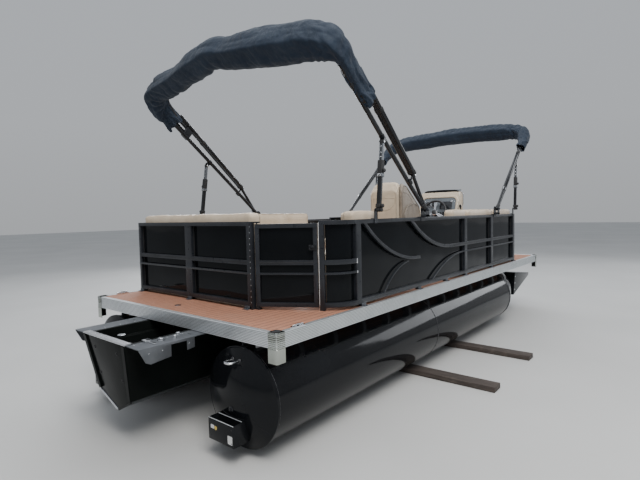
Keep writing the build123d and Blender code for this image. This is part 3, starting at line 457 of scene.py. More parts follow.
class Build:
    """several primitives in one mesh"""

    def __init__(self):
        self.bm = bmesh.new()

    def _bevel(self, faces, w, seg):
        if w <= 0:
            return
        edges = {e for f in faces for e in f.edges if e.is_manifold and e.calc_face_angle(0) > radians(30)}
        bmesh.ops.bevel(self.bm, geom=list(edges), offset=w, segments=seg, affect="EDGES", profile=0.6,
                        clamp_overlap=True)

    def box(self, lo, hi, bev=0.002, seg=2, M4=None):
        lo, hi = Vector(lo), Vector(hi)
        c, s = (lo + hi) / 2, hi - lo
        mt = Matrix.Translation(c) @ Matrix.Diagonal((abs(s.x), abs(s.y), abs(s.z), 1))
        if M4 is not None:
            mt = M4 @ mt
        r = bmesh.ops.create_cube(self.bm, size=1.0, matrix=mt)
        faces = list({f for v in r["verts"] for f in v.link_faces})
        self._bevel(faces, min(bev, 0.45 * min(abs(s.x), abs(s.y), abs(s.z))), seg)
        return self

    def lathe(self, origin, axis, prof, seg=24, up=None):
        """prof: (radius, height) from bottom to top"""
        a = Vector(axis).normalized()
        ref = Vector(up) if up else (Vector((0, 0, 1)) if abs(a.z) < 0.9 else Vector((1, 0, 0)))
        u = (ref - a * ref.dot(a)).normalized()
        v = a.cross(u)
        o = Vector(origin)
        rings = []
        for r, h in prof:
            if r < 1e-6:
                rings.append([self.bm.verts.new(o + a * h)])
            else:
                rings.append([self.bm.verts.new(o + a * h + (u * cos(2 * pi * k / seg) + v * sin(2 * pi * k / seg)) * r)
                              for k in range(seg)])
        for A, B in zip(rings, rings[1:]):
            for k in range(seg):
                k2 = (k + 1) % seg
                if len(A) == 1 and len(B) == 1:
                    continue
                if len(A) == 1:
                    self.bm.faces.new((A[0], B[k], B[k2]))
                elif len(B) == 1:
                    self.bm.faces.new((A[k], B[0], A[k2]))
                else:
                    self.bm.faces.new((A[k], B[k], B[k2], A[k2]))
        for R_ in (rings[0], rings[-1]):
            if len(R_) > 1:
                self.bm.faces.new(R_)
        return self

    def tube(self, pts, r, seg=12, closed=False, flat=None, caps=True):
        """round tube along points; flat=(half width, half thickness) makes a strap"""
        P, T, U, V = frames_along(pts, closed)
        n = len(P)
        rings = []
        for i in range(n):
            ri = r[i] if hasattr(r, "__len__") else r
            ring = []
            for k in range(seg):
                a = 2 * pi * k / seg
                if flat:
                    w, t = flat
                    off = U[i] * (w * cos(a)) + V[i] * (t * sin(a))
                else:
                    off = (U[i] * cos(a) + V[i] * sin(a)) * ri
                ring.append(self.bm.verts.new(P[i] + off))
            rings.append(ring)
        pairs = list(zip(rings, rings[1:])) + ([(rings[-1], rings[0])] if closed else [])
        for A, B in pairs:
            for k in range(seg):
                k2 = (k + 1) % seg
                self.bm.faces.new((A[k], A[k2], B[k2], B[k]))
        if not closed and caps:
            for R_, i, s in ((rings[0], 0, -1), (rings[-1], n - 1, 1)):
                ri = r[i] if hasattr(r, "__len__") else r
                c = self.bm.verts.new(P[i] + T[i] * s * ri * 0.25)
                for k in range(seg):
                    self.bm.faces.new((R_[k], R_[(k + 1) % seg], c))
        return self

    def prism(self, poly, frame4, h, bev=0.001, seg=2):
        """polygon in the local xy plane of frame4, pulled along local z by h"""
        M4 = frame4
        lo = [self.bm.verts.new(M4 @ Vector((x, y, 0))) for x, y in poly]
        hi = [self.bm.verts.new(M4 @ Vector((x, y, h))) for x, y in poly]
        n = len(poly)
        faces = [self.bm.faces.new(lo), self.bm.faces.new(hi)]
        for k in range(n):
            faces.append(self.bm.faces.new((lo[k], lo[(k + 1) % n], hi[(k + 1) % n], hi[k])))
        self._bevel(faces, bev, seg)
        return self

    def bolt(self, p, axis, r=0.006, h=0.004, seg=6, washer=True):
        a = Vector(axis).normalized()
        p = Vector(p)
        if washer:
            self.lathe(p, a, [(r * 1.55, -0.0005), (r * 1.55, h * 0.22), (r * 1.4, h * 0.32), (0, h * 0.32)], 18)
        self.lathe(p, a, [(r, 0), (r, h * 0.8), (r * 0.82, h), (0, h)], seg)
        return self

    def dome(self, p, axis, r=0.005, h=0.0025, seg=14):
        a = Vector(axis).normalized()
        self.lathe(p, a, [(r, -0.0004), (r * 0.92, h * 0.5), (r * 0.6, h * 0.9), (0, h)], seg)
        return self

    def done(self, name, mat, body, slot=None, sharp=34.0, repl=(), smooth=True):
        return finish_mesh(self.bm, name, mat, body, sharp, smooth, repl)


def plane4(origin, xdir, zdir):
    z = Vector(zdir).normalized()
    x = Vector(xdir)
    x = (x - z * x.dot(z)).normalized()
    y = z.cross(x)
    m = Matrix((x, y, z)).transposed().to_4x4()
    m.translation = Vector(origin)
    return m


def rrect(w, h, r, n=5):
    out = []
    for cx, cy, a0 in ((w / 2 - r, h / 2 - r, 0), (-w / 2 + r, h / 2 - r, 90), (-w / 2 + r, -h / 2 + r, 180),
                       (w / 2 - r, -h / 2 + r, 270)):
        for k in range(n + 1):
            a = radians(a0 + 90 * k / n)
            out.append((cx + r * cos(a), cy + r * sin(a)))
    return out


def rounded(node, w=0.002, seg=2, ang=35.0, mat=None, smooth=True, name=None):
    """a copy of a CAD node with its edges rounded, in that node's place"""
    src = NODES[node]
    bm = bmesh.new()
    bm.from_mesh(src.data)
    bmesh.ops.remove_doubles(bm, verts=bm.verts, dist=2e-5)
    bmesh.ops.dissolve_limit(bm, angle_limit=radians(1.0), verts=bm.verts, edges=bm.edges, delimit={"NORMAL"})
    edges = [e for e in bm.edges if e.is_manifold and e.calc_face_angle(0) > radians(ang)]
    bmesh.ops.bevel(bm, geom=edges, offset=w, segments=seg, affect="EDGES", profile=0.6, clamp_overlap=True)
    return finish_mesh(bm, name or (node + "_finished"), mat or NODE_MAT.get(node, CAD_MAT[SLOT[node]]), BODY[node],
                       30.0, smooth, (node,))


def noise3(p, s, seed=0.0):
    return noise.noise(Vector((p[0] * s + seed, p[1] * s + seed * 1.7, p[2] * s - seed)))


# ---------------------------------------------------------------------------
# Camera of the photograph, floor and light
# ---------------------------------------------------------------------------
CAM_P = Vector((3.2235, -4.8441, 1.633))
yaw, pitch, roll = radians(-39.449), radians(-3.181), radians(-1.197)
fwd = Vector((sin(yaw) * cos(pitch), cos(yaw) * cos(pitch), sin(pitch)))
r0 = Vector((cos(yaw), -sin(yaw), 0))
u0 = r0.cross(fwd)
rt = r0 * cos(roll) + u0 * sin(roll)
upv = -r0 * sin(roll) + u0 * cos(roll)
cam_d = bpy.data.cameras.new("camera")
cam = bpy.data.objects.new("camera", cam_d)
bpy.context.scene.collection.objects.link(cam)
m4 = Matrix((rt, upv, -fwd)).transposed().to_4x4()
m4.translation = CAM_P
cam.matrix_world = m4
cam_d.sensor_width = 36.0
cam_d.lens = 36.0 * 453.2953 / 640
cam_d.clip_start, cam_d.clip_end = 0.05, 200
bpy.context.scene.camera = cam

bm = bmesh.new()
bmesh.ops.create_grid(bm, x_segments=8, y_segments=8, size=60)
me = bpy.data.meshes.new("floor")
bm.to_mesh(me)
bm.free()
floor = bpy.data.objects.new("floor", me)
floor.location = (0, 0, -0.0005)
bpy.context.scene.collection.objects.link(floor)
fm = Mat("floor")
fm.set(fm.ramp(fm.noise(0.4, 3), [(0.3, (0.50, 0.50, 0.49)), (0.7, (0.56, 0.56, 0.55))]), fm.rng(fm.noise(3, 3), 0.3, 0.7, 0.8, 0.9),
       fm.bump(fm.noise(60, 3), 0.05, 0.001), Specular_IOR_Level=0.2)
me.materials.append(fm.m)

world = bpy.data.worlds.new("studio")
bpy.context.scene.world = world
world.use_nodes = True
wn = world.node_tree
bg = [n for n in wn.nodes if n.type == "BACKGROUND"][0]
wtc = wn.nodes.new("ShaderNodeTexCoord")
wsp = wn.nodes.new("ShaderNodeSeparateXYZ")
wrm = wn.nodes.new("ShaderNodeValToRGB")
wn.links.new(wtc.outputs["Generated"], wsp.inputs["Vector"])
wmr = wn.nodes.new("ShaderNodeMapRange")
wmr.inputs["From Min"].default_value = -0.1
wmr.inputs["From Max"].default_value = 1.0
wn.links.new(wsp.outputs["Z"], wmr.inputs["Value"])
wn.links.new(wmr.outputs["Result"], wrm.inputs["Fac"])
els = wrm.color_ramp.elements
els[0].position, els[0].color = 0.0, (0.66, 0.68, 0.70, 1)
els[1].position, els[1].color = 1.0, (0.80, 0.86, 0.95, 1)
e = els.new(0.25)
e.color = (0.78, 0.81, 0.85, 1)
wn.links.new(wrm.outputs["Color"], bg.inputs["Color"])
bg.inputs["Strength"].default_value = 0.62


def area(name, loc, target, size, power, color=(1, 1, 1)):
    d = bpy.data.lights.new(name, "AREA")
    d.shape = "RECTANGLE"
    d.size, d.size_y = size
    d.energy = power
    d.color = color
    o = bpy.data.objects.new(name, d)
    o.location = loc
    o.rotation_mode = "QUATERNION"
    o.rotation_quaternion = (Vector(target) - Vector(loc)).to_track_quat("-Z", "Y")
    bpy.context.scene.collection.objects.link(o)


area("key", (5.5, -5.0, 9.0), (0, 0, 1), (5, 5), 980, (1.0, 0.98, 0.95))
area("top", (-1.0, 1.0, 9.5), (0, 0.3, 0.8), (9, 10), 560, (0.93, 0.96, 1.0))
area("side", (5.6, 10.6, 4.3), (1.2, 0.5, 0.6), (6.0, 3.2), 210, (0.93, 0.96, 1.0))
bpy.data.objects["side"].visible_camera = False
area("rim", (-8.0, 5.0, 5.0), (0, 0, 1.2), (5, 4), 420, (0.95, 0.97, 1.0))

# ---------------------------------------------------------------------------
# Sheet metal and profiles: the CAD shapes with their edges rounded
# ---------------------------------------------------------------------------
for node, w in (("bearers", 0.006), ("tail_boxes", 0.004), ("riser_rails", 0.001), ("cross_members", 0.002),
                ("transom_plate", 0.003), ("pod_flanges", 0.0015), ("fence_aft", 0.003), ("fence_starboard", 0.003),
                ("fence_corner", 0.003), ("fence_port", 0.003), ("fence_bow", 0.003), ("gate_aft_frame", 0.003),
                ("gate_bow_frame", 0.003), ("gate_port_frame", 0.003), ("seat_bases", 0.008), ("back_risers", 0.006)):
    rounded(node, w)

# ribbed deck-edge extrusion, one side at a time, mitred at the corners
BEAM_M, D_AFT, D_BOW = 1.216, -2.856, 3.282


def rib_profile(z0, z1, n, deep):
    """(distance in from the outer face, height) up the outer face"""
    out = []
    step = (z1 - z0) / n
    for k in range(n):
        for t, d in ((0.0, 0.0), (0.52, 0.0), (0.60, 0.8), (0.68, 1.0), (0.86, 1.0), (0.94, 0.8)):
            out.append((d * deep, z0 + (k + t) * step))
    return out


TRIM = [(0.034, 0.786), (0.002, 0.786)] + rib_profile(0.788, 0.884, 9, 0.0035) + \
    [(0.0, 0.884), (0.0008, 0.8885), (0.003, 0.890), (0.039, 0.890), (0.041, 0.8885), (0.041, 0.8872), (0.034, 0.8870)]


def trim_side(name, mat, a, b, inward, along):
    """a to b along the outer edge; every ring point is moved in and shortened by its own depth, which is the mitre"""
    bld = Build()
    a, b = Vector(a), Vector(b)
    inward, along = Vector(inward), Vector(along)
    n = 12
    rings = []
    for i in range(n + 1):
        t = i / n
        ring = []
        for d, z in TRIM:
            p = a.lerp(b, t)
            if i == 0:
                p = a + along * d
            if i == n:
                p = b - along * d
            p = p + inward * d
            ring.append(bld.bm.verts.new((p.x, p.y, z)))
        rings.append(ring)
    m = len(TRIM)
    for A, B in zip(rings, rings[1:]):
        for k in range(m):
            f = bld.bm.faces.new((A[k], A[(k + 1) % m], B[(k + 1) % m], B[k]))
            # faces down in the rib grooves take the second slot, painted darker as shade
            if 2 <= k < m - 7 and TRIM[k][0] > 0.002 and TRIM[(k + 1) % m][0] > 0.002:
                f.material_index = 1
    o = bld.done(name, mat, BODY["edge_trim"], SLOT["edge_trim"], 25, ("edge_trim",))
    o.data.materials.append(M["trim_groove_painted_shade"])
    return o


HULL = BODY["edge_trim"]
trim_side("deck_edge_starboard", "trim_aluminium", (BEAM_M, D_AFT, 0), (BEAM_M, D_BOW, 0), (-1, 0, 0), (0, 1, 0))
trim_side("deck_edge_port", "trim_aluminium", (-BEAM_M, D_AFT, 0), (-BEAM_M, D_BOW, 0), (1, 0, 0), (0, 1, 0))
# the end pieces take the lighter copy, brightened as a painted highlight
trim_side("deck_edge_aft", "trim_athwart_painted_highlight", (-BEAM_M, D_AFT, 0), (BEAM_M, D_AFT, 0), (0, 1, 0), (1, 0, 0))
trim_side("deck_edge_bow", "trim_athwart_painted_highlight", (-BEAM_M, D_BOW, 0), (BEAM_M, D_BOW, 0), (0, -1, 0), (1, 0, 0))

# polished corner pieces: ribbed above, a plain apron below, a dark oval plug on top. Their chrome carries an olive tint
# that is a painted reflection of grass, and their rib grooves are painted dark as shade
CAPP = [(0.0042, 0.690), (0.001, 0.690), (0.0, 0.692), (0.0, 0.784), (0.0015, 0.7865), (0.0, 0.789)] + \
    [(d, z) for d, z in rib_profile(0.791, 0.888, 8, 0.0042)] + [(0.0, 0.888), (0.0012, 0.8922), (0.004, 0.893)]
for sx in (-1, 1):
    for ye, sy, tag in ((-2.860, 1, "aft"), (3.286, -1, "bow")):
        bld = Build()
        xc, yc, rr = sx * 1.220, ye, 0.016
        path = [((xc - sx * 0.080, yc), (0, sy)), ((xc - sx * 0.045, yc), (0, sy)), ((xc - sx * rr, yc), (0, sy))]
        for k in range(1, 6):
            a = radians(90 * k / 6)
            c0 = (xc - sx * rr, yc + sy * rr)
            path.append(((c0[0] + sx * rr * sin(a), c0[1] - sy * rr * cos(a)), (-sx * sin(a), sy * cos(a))))
        path += [((xc, yc + sy * rr), (-sx, 0)), ((xc, yc + sy * 0.045), (-sx, 0)), ((xc, yc + sy * 0.080), (-sx, 0))]
        outer = [[bld.bm.verts.new((p[0] + q[0] * d, p[1] + q[1] * d, z)) for d, z in CAPP] for p, q in path]
        inner = [[bld.bm.verts.new((p[0] + q[0] * 0.0045, p[1] + q[1] * 0.0045, z)) for z in (0.690, 0.8885)]
                 for p, q in path]
        m = len(CAPP)
        for (A, Ai), (B, Bi) in zip(zip(outer, inner), zip(outer[1:], inner[1:])):
            for k in range(m - 1):
                f = bld.bm.faces.new((A[k], A[k + 1], B[k + 1], B[k]))
                # faces down in the rib grooves take the second slot, painted dark as shade
                if CAPP[k][0] > 0.003 and CAPP[k + 1][0] > 0.003 and CAPP[k][1] > 0.79 and CAPP[k + 1][1] < 0.889:
                    f.material_index = 1
            bld.bm.faces.new((A[0], B[0], Bi[0], Ai[0]))
            bld.bm.faces.new((Ai[0], Bi[0], Bi[1], Ai[1]))
            bld.bm.faces.new((Ai[1], Bi[1], B[-1], A[-1]))
        for A, Ai in ((outer[0], inner[0]), (outer[-1], inner[-1])):
            bld.bm.faces.new([*A, Ai[1], Ai[0]])
        # top plate with a rounded outer corner
        pl = plane4((xc - sx * 0.042, yc + sy * 0.042, 0.8895), (1, 0, 0), (0, 0, 1))
        bld.prism(rrect(0.078, 0.078, 0.014, 4), pl, 0.0034, 0.0012)
        cpo = bld.done(f"corner_piece_{tag}_{'port' if sx < 0 else 'starboard'}", "cap_chrome_painted_reflection", HULL, SLOT["corner_caps"], 30,
                       ("corner_caps",))
        cpo.data.materials.append(M["cap_groove_painted_shade"])
        plug = Build()
        pts = [(0.021 * cos(2 * pi * k / 28), 0.033 * sin(2 * pi * k / 28)) for k in range(28)]
        plug.prism(pts, plane4((xc - sx * 0.040, yc + sy * 0.040, 0.8925), (1, 0, 0), (0, 0, 1)), 0.0045, 0.0016, 3)
        for t in (0.35, 0.65):
            plug.dome((xc - sx * 0.040, yc + sy * (0.040 + (t - 0.5) * 0.09), 0.8928), (0, 0, 1), 0.004, 0.002)
        plug.done(f"corner_plug_{tag}_{'port' if sx < 0 else 'starboard'}", "rubber", HULL)

# ---------------------------------------------------------------------------
# Soft goods. Each pad starts as its own crowned form, is filled in a cloth run with its seams held, and then gets its
# piping and stitching along the seams as they came out.
# ---------------------------------------------------------------------------
SIM = []


def steps(a, b, r, cell):
    """stations from a to b, close together in the rounded ends"""
    n = max(2, int(round((b - a - 2 * r) / cell)))
    mid = [a + r + (b - a - 2 * r) * k / n for k in range(n + 1)]
    return [a, a + r * 0.12, a + r * 0.42] + mid + [b - r * 0.42, b - r * 0.12, b]


def pad_grid(lo, hi, r, cell, shape):
    """closed box of quads, rounded by r and passed through shape(p, n); returns mesh and a key -> index table"""
    X, Y, Z = (steps(lo[k], hi[k], r, cell) for k in range(3))
    nx, ny, nz = len(X) - 1, len(Y) - 1, len(Z) - 1
    keys, pts, faces = {}, [], []

    def vid(i, j, k):
        if (i, j, k) not in keys:
            p = Vector((X[i], Y[j], Z[k]))
            c = Vector([min(max(p[q], lo[q] + r), hi[q] - r) for q in range(3)])
            d = p - c
            if d.length > 1e-9:
                # cube to sphere mapping keeps the rounded edge even
                u = d / r
                s = Vector((u.x * sqrt(max(0, 1 - u.y ** 2 / 2 - u.z ** 2 / 2 + u.y ** 2 * u.z ** 2 / 3)),
                            u.y * sqrt(max(0, 1 - u.z ** 2 / 2 - u.x ** 2 / 2 + u.z ** 2 * u.x ** 2 / 3)),
                            u.z * sqrt(max(0, 1 - u.x ** 2 / 2 - u.y ** 2 / 2 + u.x ** 2 * u.y ** 2 / 3))))
                p = c + s * r
            keys[(i, j, k)] = len(pts)
            pts.append(shape(p) if shape else p)
        return keys[(i, j, k)]

    for i in range(nx):
        for j in range(ny):
            faces.append((vid(i, j, 0), vid(i, j + 1, 0), vid(i + 1, j + 1, 0), vid(i + 1, j, 0)))
            faces.append((vid(i, j, nz), vid(i + 1, j, nz), vid(i + 1, j + 1, nz), vid(i, j + 1, nz)))
    for i in range(nx):
        for k in range(nz):
            faces.append((vid(i, 0, k), vid(i + 1, 0, k), vid(i + 1, 0, k + 1), vid(i, 0, k + 1)))
            faces.append((vid(i, ny, k), vid(i, ny, k + 1), vid(i + 1, ny, k + 1), vid(i + 1, ny, k)))
    for j in range(ny):
        for k in range(nz):
            faces.append((vid(0, j, k), vid(0, j, k + 1), vid(0, j + 1, k + 1), vid(0, j + 1, k)))
            faces.append((vid(nx, j, k), vid(nx, j + 1, k), vid(nx, j + 1, k + 1), vid(nx, j, k + 1)))
    return pts, faces, keys, (X, Y, Z)


def near_index(vals, v):
    return min(range(len(vals)), key=lambda i: abs(vals[i] - v))


def soft_object(name, pts, faces, mat, body, repl):
    me = bpy.data.meshes.new(name)
    me.from_pydata([tuple(p) for p in pts], [], faces)
    me.materials.append(M[mat])
    o = bpy.data.objects.new(name, me)
    bpy.context.scene.collection.objects.link(o)
    if repl:
        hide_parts(*repl)
    return o


def cushion(name, lo, hi, node, mat="vinyl_beige", r=0.024, cell=0.03, crown=0.010, axis=2, seams=(), border=None,
            seed=0.0, fill=0.75, pressure=3.0, replace=True, shape=None, flip=1):
    """lo, hi in metres; axis is the way its main panel faces. seams: (axis index, value) planes whose line is stitched.
    border is not used."""
    lo, hi = Vector(lo), Vector(hi)
    a1, a2 = [k for k in range(3) if k != axis]

    def form(p):
        q = p.copy()
        u = (p[a1] - lo[a1]) / (hi[a1] - lo[a1]) * 2 - 1
        v = (p[a2] - lo[a2]) / (hi[a2] - lo[a2]) * 2 - 1
        w = (p[axis] - lo[axis]) / (hi[axis] - lo[axis])
        w = w if flip > 0 else 1 - w
        # crowned main panel, and slack foam between the corners
        q[axis] += flip * w * (crown * (1 - u ** 4) * (1 - v ** 4) - crown * 0.35)
        q[axis] += flip * w * 0.004 * noise3(p, 2.2, seed)
        for ax, t in ((a1, u), (a2, v)):
            q[ax] -= (1 if t > 0 else -1) * abs(t) ** 6 * (0.004 + 0.003 * noise3(p, 3.0, seed + 5))
        for ax, val in seams:
            d = abs(p[ax] - val)
            q[axis] -= flip * w * 0.007 * math_exp(-(d / 0.018) ** 2)
        if shape:
            q = shape(q)
        return q

    pts, faces, keys, (X, Y, Z) = pad_grid(lo, hi, r, cell, form)
    body = BODY[node]
    o = soft_object(name, pts, faces, mat, body, (node,) if replace else ())
    # seam lines as lists of vertex indices: the piped edge of the main panel and the cross seams
    ST = (X, Y, Z)
    lines, held = [], set()
    top = len(ST[axis]) - 1 if flip > 0 else 0
    inner = top - 3 if flip > 0 else 3
    n1, n2 = len(ST[a1]) - 1, len(ST[a2]) - 1

    def key(i, j, k):
        t = [0, 0, 0]
        t[a1], t[a2], t[axis] = i, j, k
        return tuple(t)

    lev = top - 1 if flip > 0 else 1
    ring = [keys[key(i, 0, lev)] for i in range(n1 + 1)] + [keys[key(n1, j, lev)] for j in range(1, n2 + 1)] + \
           [keys[key(i, n2, lev)] for i in range(n1 - 1, -1, -1)] + [keys[key(0, j, lev)] for j in range(n2 - 1, 0, -1)]
    lines.append(("pipe", ring, True))
    held.update(ring)
    bot = (1 if flip > 0 else top_of(ST[axis]) - 1)
    ringb = [keys[key(i, 0, bot)] for i in range(n1 + 1)] + [keys[key(n1, j, bot)] for j in range(1, n2 + 1)] + \
            [keys[key(i, n2, bot)] for i in range(n1 - 1, -1, -1)] + [keys[key(0, j, bot)] for j in range(n2 - 1, 0, -1)]
    held.update(ringb)
    for ax, val in seams:
        idx = near_index(ST[ax], val)
        if ax == a1:
            line = [keys[key(idx, j, top)] for j in range(n2 + 1)]
            side = [keys[key(idx, 0, k)] for k in range(len(ST[axis]))] + [keys[key(idx, n2, k)] for k in range(len(ST[axis]))]
        else:
            line = [keys[key(i, idx, top)] for i in range(n1 + 1)]
            side = [keys[key(0, idx, k)] for k in range(len(ST[axis]))] + [keys[key(n1, idx, k)] for k in range(len(ST[axis]))]
        lines.append(("seam", line, False))
        held.update(line)
    cl, ch = np.array(lo) - 0.0015, np.array(hi) + 0.0015
    if flip > 0:
        ch[axis] = hi[axis] + 0.009
    else:
        cl[axis] = lo[axis] - 0.009
    SIM.append(dict(o=o, body=body, held=held, lines=lines, pressure=pressure, cap=0.008, grow=0.0, fill=fill, name=name,
                    kind="pad", sub=1, mat=mat, axis=axis, flip=flip, clamp=(cl, ch)))
    return o


def top_of(v):
    return len(v) - 1


def math_exp(v):
    return 2.718281828 ** max(v, -50)


def mm(*v):
    return tuple(x / 1000 for x in v)


# seat cushions, each with its own cross seams
SEAT_SEAMS = {
    "seat_aft": [(0, -0.515), (0, -0.265), (0, 0.10)],
    "seat_port": [(1, -1.16), (1, -0.55)],
    "seat_starboard": [(1, -1.385)],
    "lounge_port": [(1, 1.36), (1, 1.75)],
    "lounge_starboard": [(1, 1.45), (1, 1.80)],
}
for k, (nm, seams) in enumerate(SEAT_SEAMS.items()):
    lo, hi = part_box(nm)
    cushion(nm + "_cushion", lo, hi, nm, seams=seams, r=0.026, cell=0.034, crown=0.014, seed=k * 3.1)

# back cushions on their risers: the padded face looks at the seat, the top edge is what shows over the fence
BACKS = (  # columns: name, x from, x to, y from, y to, facing axis, side, cross seams along the length
    ("back_pad_aft", -1.131, 0.500, -2.388, -2.276, 1, 1, ((0, -0.675), (0, -0.265), (0, 0.165))),
    ("back_pad_port_aft", -1.131, -1.021, -2.268, 0.070, 0, 1, ((1, -1.62), (1, -1.00), (1, -0.38))),
    ("back_pad_starboard_aft", 1.021, 1.131, -1.895, -1.520, 0, -1, ()),
    ("back_pad_port_fore", -1.131, -1.021, 0.960, 2.150, 0, 1, ((1, 1.36), (1, 1.75))),
    ("side_pad_helm", 1.021, 1.131, 0.060, 0.455, 0, -1, ()),
    ("side_pad_console", 1.021, 1.131, 0.529, 1.383, 0, -1, ((1, 0.96),)),
    ("side_pad_bow", 1.021, 1.131, 1.504, 2.150, 0, -1, ((1, 1.83),)),
    ("lounge_back_port", -1.013, -0.563, 0.840, 0.950, 1, 1, ((0, -0.79),)),
    ("lounge_back_starboard", 0.563, 1.013, 0.985, 1.095, 1, 1, ((0, 0.79),)),
)
for k, (nm, xa, xb, ya, yb, ax, side, seams) in enumerate(BACKS):
    zt = 1.665

    def soft_top(p, xa=xa, xb=xb, ya=ya, yb=yb, ax=ax, seams=seams, k=k):
        """rolled top edge with rounded ends, a little lower at each seam"""
        q = p.copy()
        la, lb = (ya, yb) if ax == 0 else (xa, xb)
        s = p[1 - ax]
        e = min(s - la, lb - s)
        h = (p.z - 1.312) / (zt - 1.312)
        drop = 0.026 * (1 - min(max(e, 0) / 0.055, 1)) ** 2.2
        for sa, sv in seams:
            if sa == 1 - ax:
                drop += 0.005 * math_exp(-((s - sv) / 0.02) ** 2)
        drop += 0.0025 * (1 + noise3((s, 0, 0), 3.1, k * 2.7))
        q.z -= drop * max(h, 0) ** 2
        return q

    cushion(nm, (xa, ya, 1.312), (xb, yb, zt), "seat_backs", seams=list(seams), axis=ax, flip=side, r=0.030, cell=0.034,
            crown=0.010, seed=20 + k * 2.3, shape=soft_top, pressure=2.5)


# helm chair pads are lofted from side profiles (y, z)
def offset_poly(poly, d):
    """polygon moved inward by d, corner by corner"""
    n = len(poly)
    area = sum(poly[i][0] * poly[(i + 1) % n][1] - poly[(i + 1) % n][0] * poly[i][1] for i in range(n))
    sg = 1 if area > 0 else -1
    out = []
    for i in range(n):
        p0, p1, p2 = (Vector((*poly[(i + q) % n], 0)) for q in (-1, 0, 1))
        e1, e2 = (p1 - p0).normalized(), (p2 - p1).normalized()
        n1, n2 = Vector((-e1.y, e1.x, 0)) * sg, Vector((-e2.y, e2.x, 0)) * sg
        b = (n1 + n2)
        b = b / max(b.length, 1e-6)
        c = max(b.dot(n1), 0.4)
        q = p1 + b * (d / c)
        out.append((q.x, q.y))
    return out


def dense_poly(poly, rad, step):
    """polygon with rounded corners, evenly spaced points"""
    n = len(poly)
    ring = []
    for i in range(n):
        a, b, c = Vector((*poly[i - 1], 0)), Vector((*poly[i], 0)), Vector((*poly[(i + 1) % n], 0))
        d1, d2 = a - b, c - b
        ang = d1.angle(d2)
        k = min(rad / tan(ang / 2), 0.45 * d1.length, 0.45 * d2.length)
        p1, p2 = b + d1.normalized() * k, b + d2.normalized() * k
        for t in (0, 0.25, 0.5, 0.75, 1):
            ring.append(p1 * (1 - t) ** 2 + b * 2 * t * (1 - t) + p2 * t ** 2)
    ring.append(ring[0])
    L = sum((q - p).length for p, q in zip(ring, ring[1:]))
    m = max(12, int(L / step))
    return [(p.x, p.y) for p in resample(ring, m + 1)[:-1]]


def profile_pad(name, node, x0, x1, poly, mat, r=0.02, rad=0.03, step=0.016, crown=0.010, seed=0.0, pressure=2.5,
                replace=True, body=None, seam_x=(), lean=0.0, squeeze=None):
    base = dense_poly(poly, rad, step)
    m = len(base)
    n = max(3, int((x1 - x0 - 2 * r) / step))
    xs = [x0 + r * (1 - cos(radians(a))) for a in (0, 30, 60)] + [x0 + r + (x1 - x0 - 2 * r) * k / n for k in range(n + 1)] + \
         [x1 - r * (1 - cos(radians(a))) for a in (60, 30, 0)]
    ins = [r * (1 - sin(radians(a))) for a in (0, 30, 60)] + [0] * (n + 1) + [r * (1 - sin(radians(a))) for a in (60, 30, 0)]
    cy, cz = sum(p[0] for p in base) / m, sum(p[1] for p in base) / m
    pts, faces, rows = [], [], []
    for x, d in zip(xs, ins):
        ring = offset_poly(base, d) if d > 1e-6 else base
        row = []
        for y, z in ring:
            u = (x - x0) / (x1 - x0) * 2 - 1
            g = 1 + crown / 0.12 * (1 - u ** 4) * 0.25
            p = Vector((x, cy + (y - cy) * g, cz + (z - cz) * (1 + (g - 1) * 0.5)))
            for sx_ in seam_x:
                w = math_exp(-((x - sx_) / 0.014) ** 2) * 0.007
                v = Vector((0, p.y - cy, p.z - cz))
                p -= v.normalized() * w
            p.x += lean * (p.z - poly_lo(poly)) + 0.002 * noise3(p, 5, seed)
            if squeeze:
                p = squeeze(p)
            row.append(len(pts))
            pts.append(p)
        rows.append(row)
    for A, B in zip(rows, rows[1:]):
        for k in range(m):
            faces.append((A[k], A[(k + 1) % m], B[(k + 1) % m], B[k]))
    for row, x, sg in ((rows[0], x0, -1), (rows[-1], x1, 1)):
        prev = row
        for q in (0.72, 0.42, 0.15):
            cur = []
            for k in range(m):
                p = pts[row[k]]
                cur.append(len(pts))
                pts.append(Vector((x + sg * crown * 0.5 * (1 - q ** 2), cy + (p.y - cy) * q, cz + (p.z - cz) * q)))
            for k in range(m):
                f = (prev[k], prev[(k + 1) % m], cur[(k + 1) % m], cur[k])
                faces.append(f if sg > 0 else f[::-1])
            prev = cur
        c = len(pts)
        pts.append(Vector((x + sg * crown * 0.5, cy, cz)))
        for k in range(m):
            f = (prev[k], prev[(k + 1) % m], c)
            faces.append(f if sg > 0 else f[::-1])
    bd = body or BODY[node]
    o = soft_object(name, pts, faces, mat, bd, (node,) if replace else ())
    lines = [("pipe", rows[2], True), ("pipe", rows[-3], True)]
    held = set(rows[2]) | set(rows[-3])
    for sx_ in seam_x:
        i = min(range(len(xs)), key=lambda q: abs(xs[q] - sx_))
        lines.append(("seam", rows[i], True))
        held.update(rows[i])
    SIM.append(dict(o=o, body=bd, held=held, lines=lines, pressure=pressure, cap=0.007, grow=0.0, fill=0.8, name=name,
                    kind="pad", sub=1, mat=mat, axis=0, flip=1))
    return o


def poly_lo(poly):
    return min(p[1] for p in poly)


CHX, CHY = 0.655, -0.380
def shoulders(p):
    """top corners of the rear pad rounded"""
    e = min(p.x - (CHX - 0.188), (CHX + 0.150) - p.x)
    u = 1 - min(max(e, 0) / 0.075, 1)
    k = max(0.0, min(1.0, (p.z - 1.70) / 0.25))
    return Vector((p.x, p.y, p.z - 0.085 * (1 - sqrt(max(0.0, 1 - u * u))) * k))


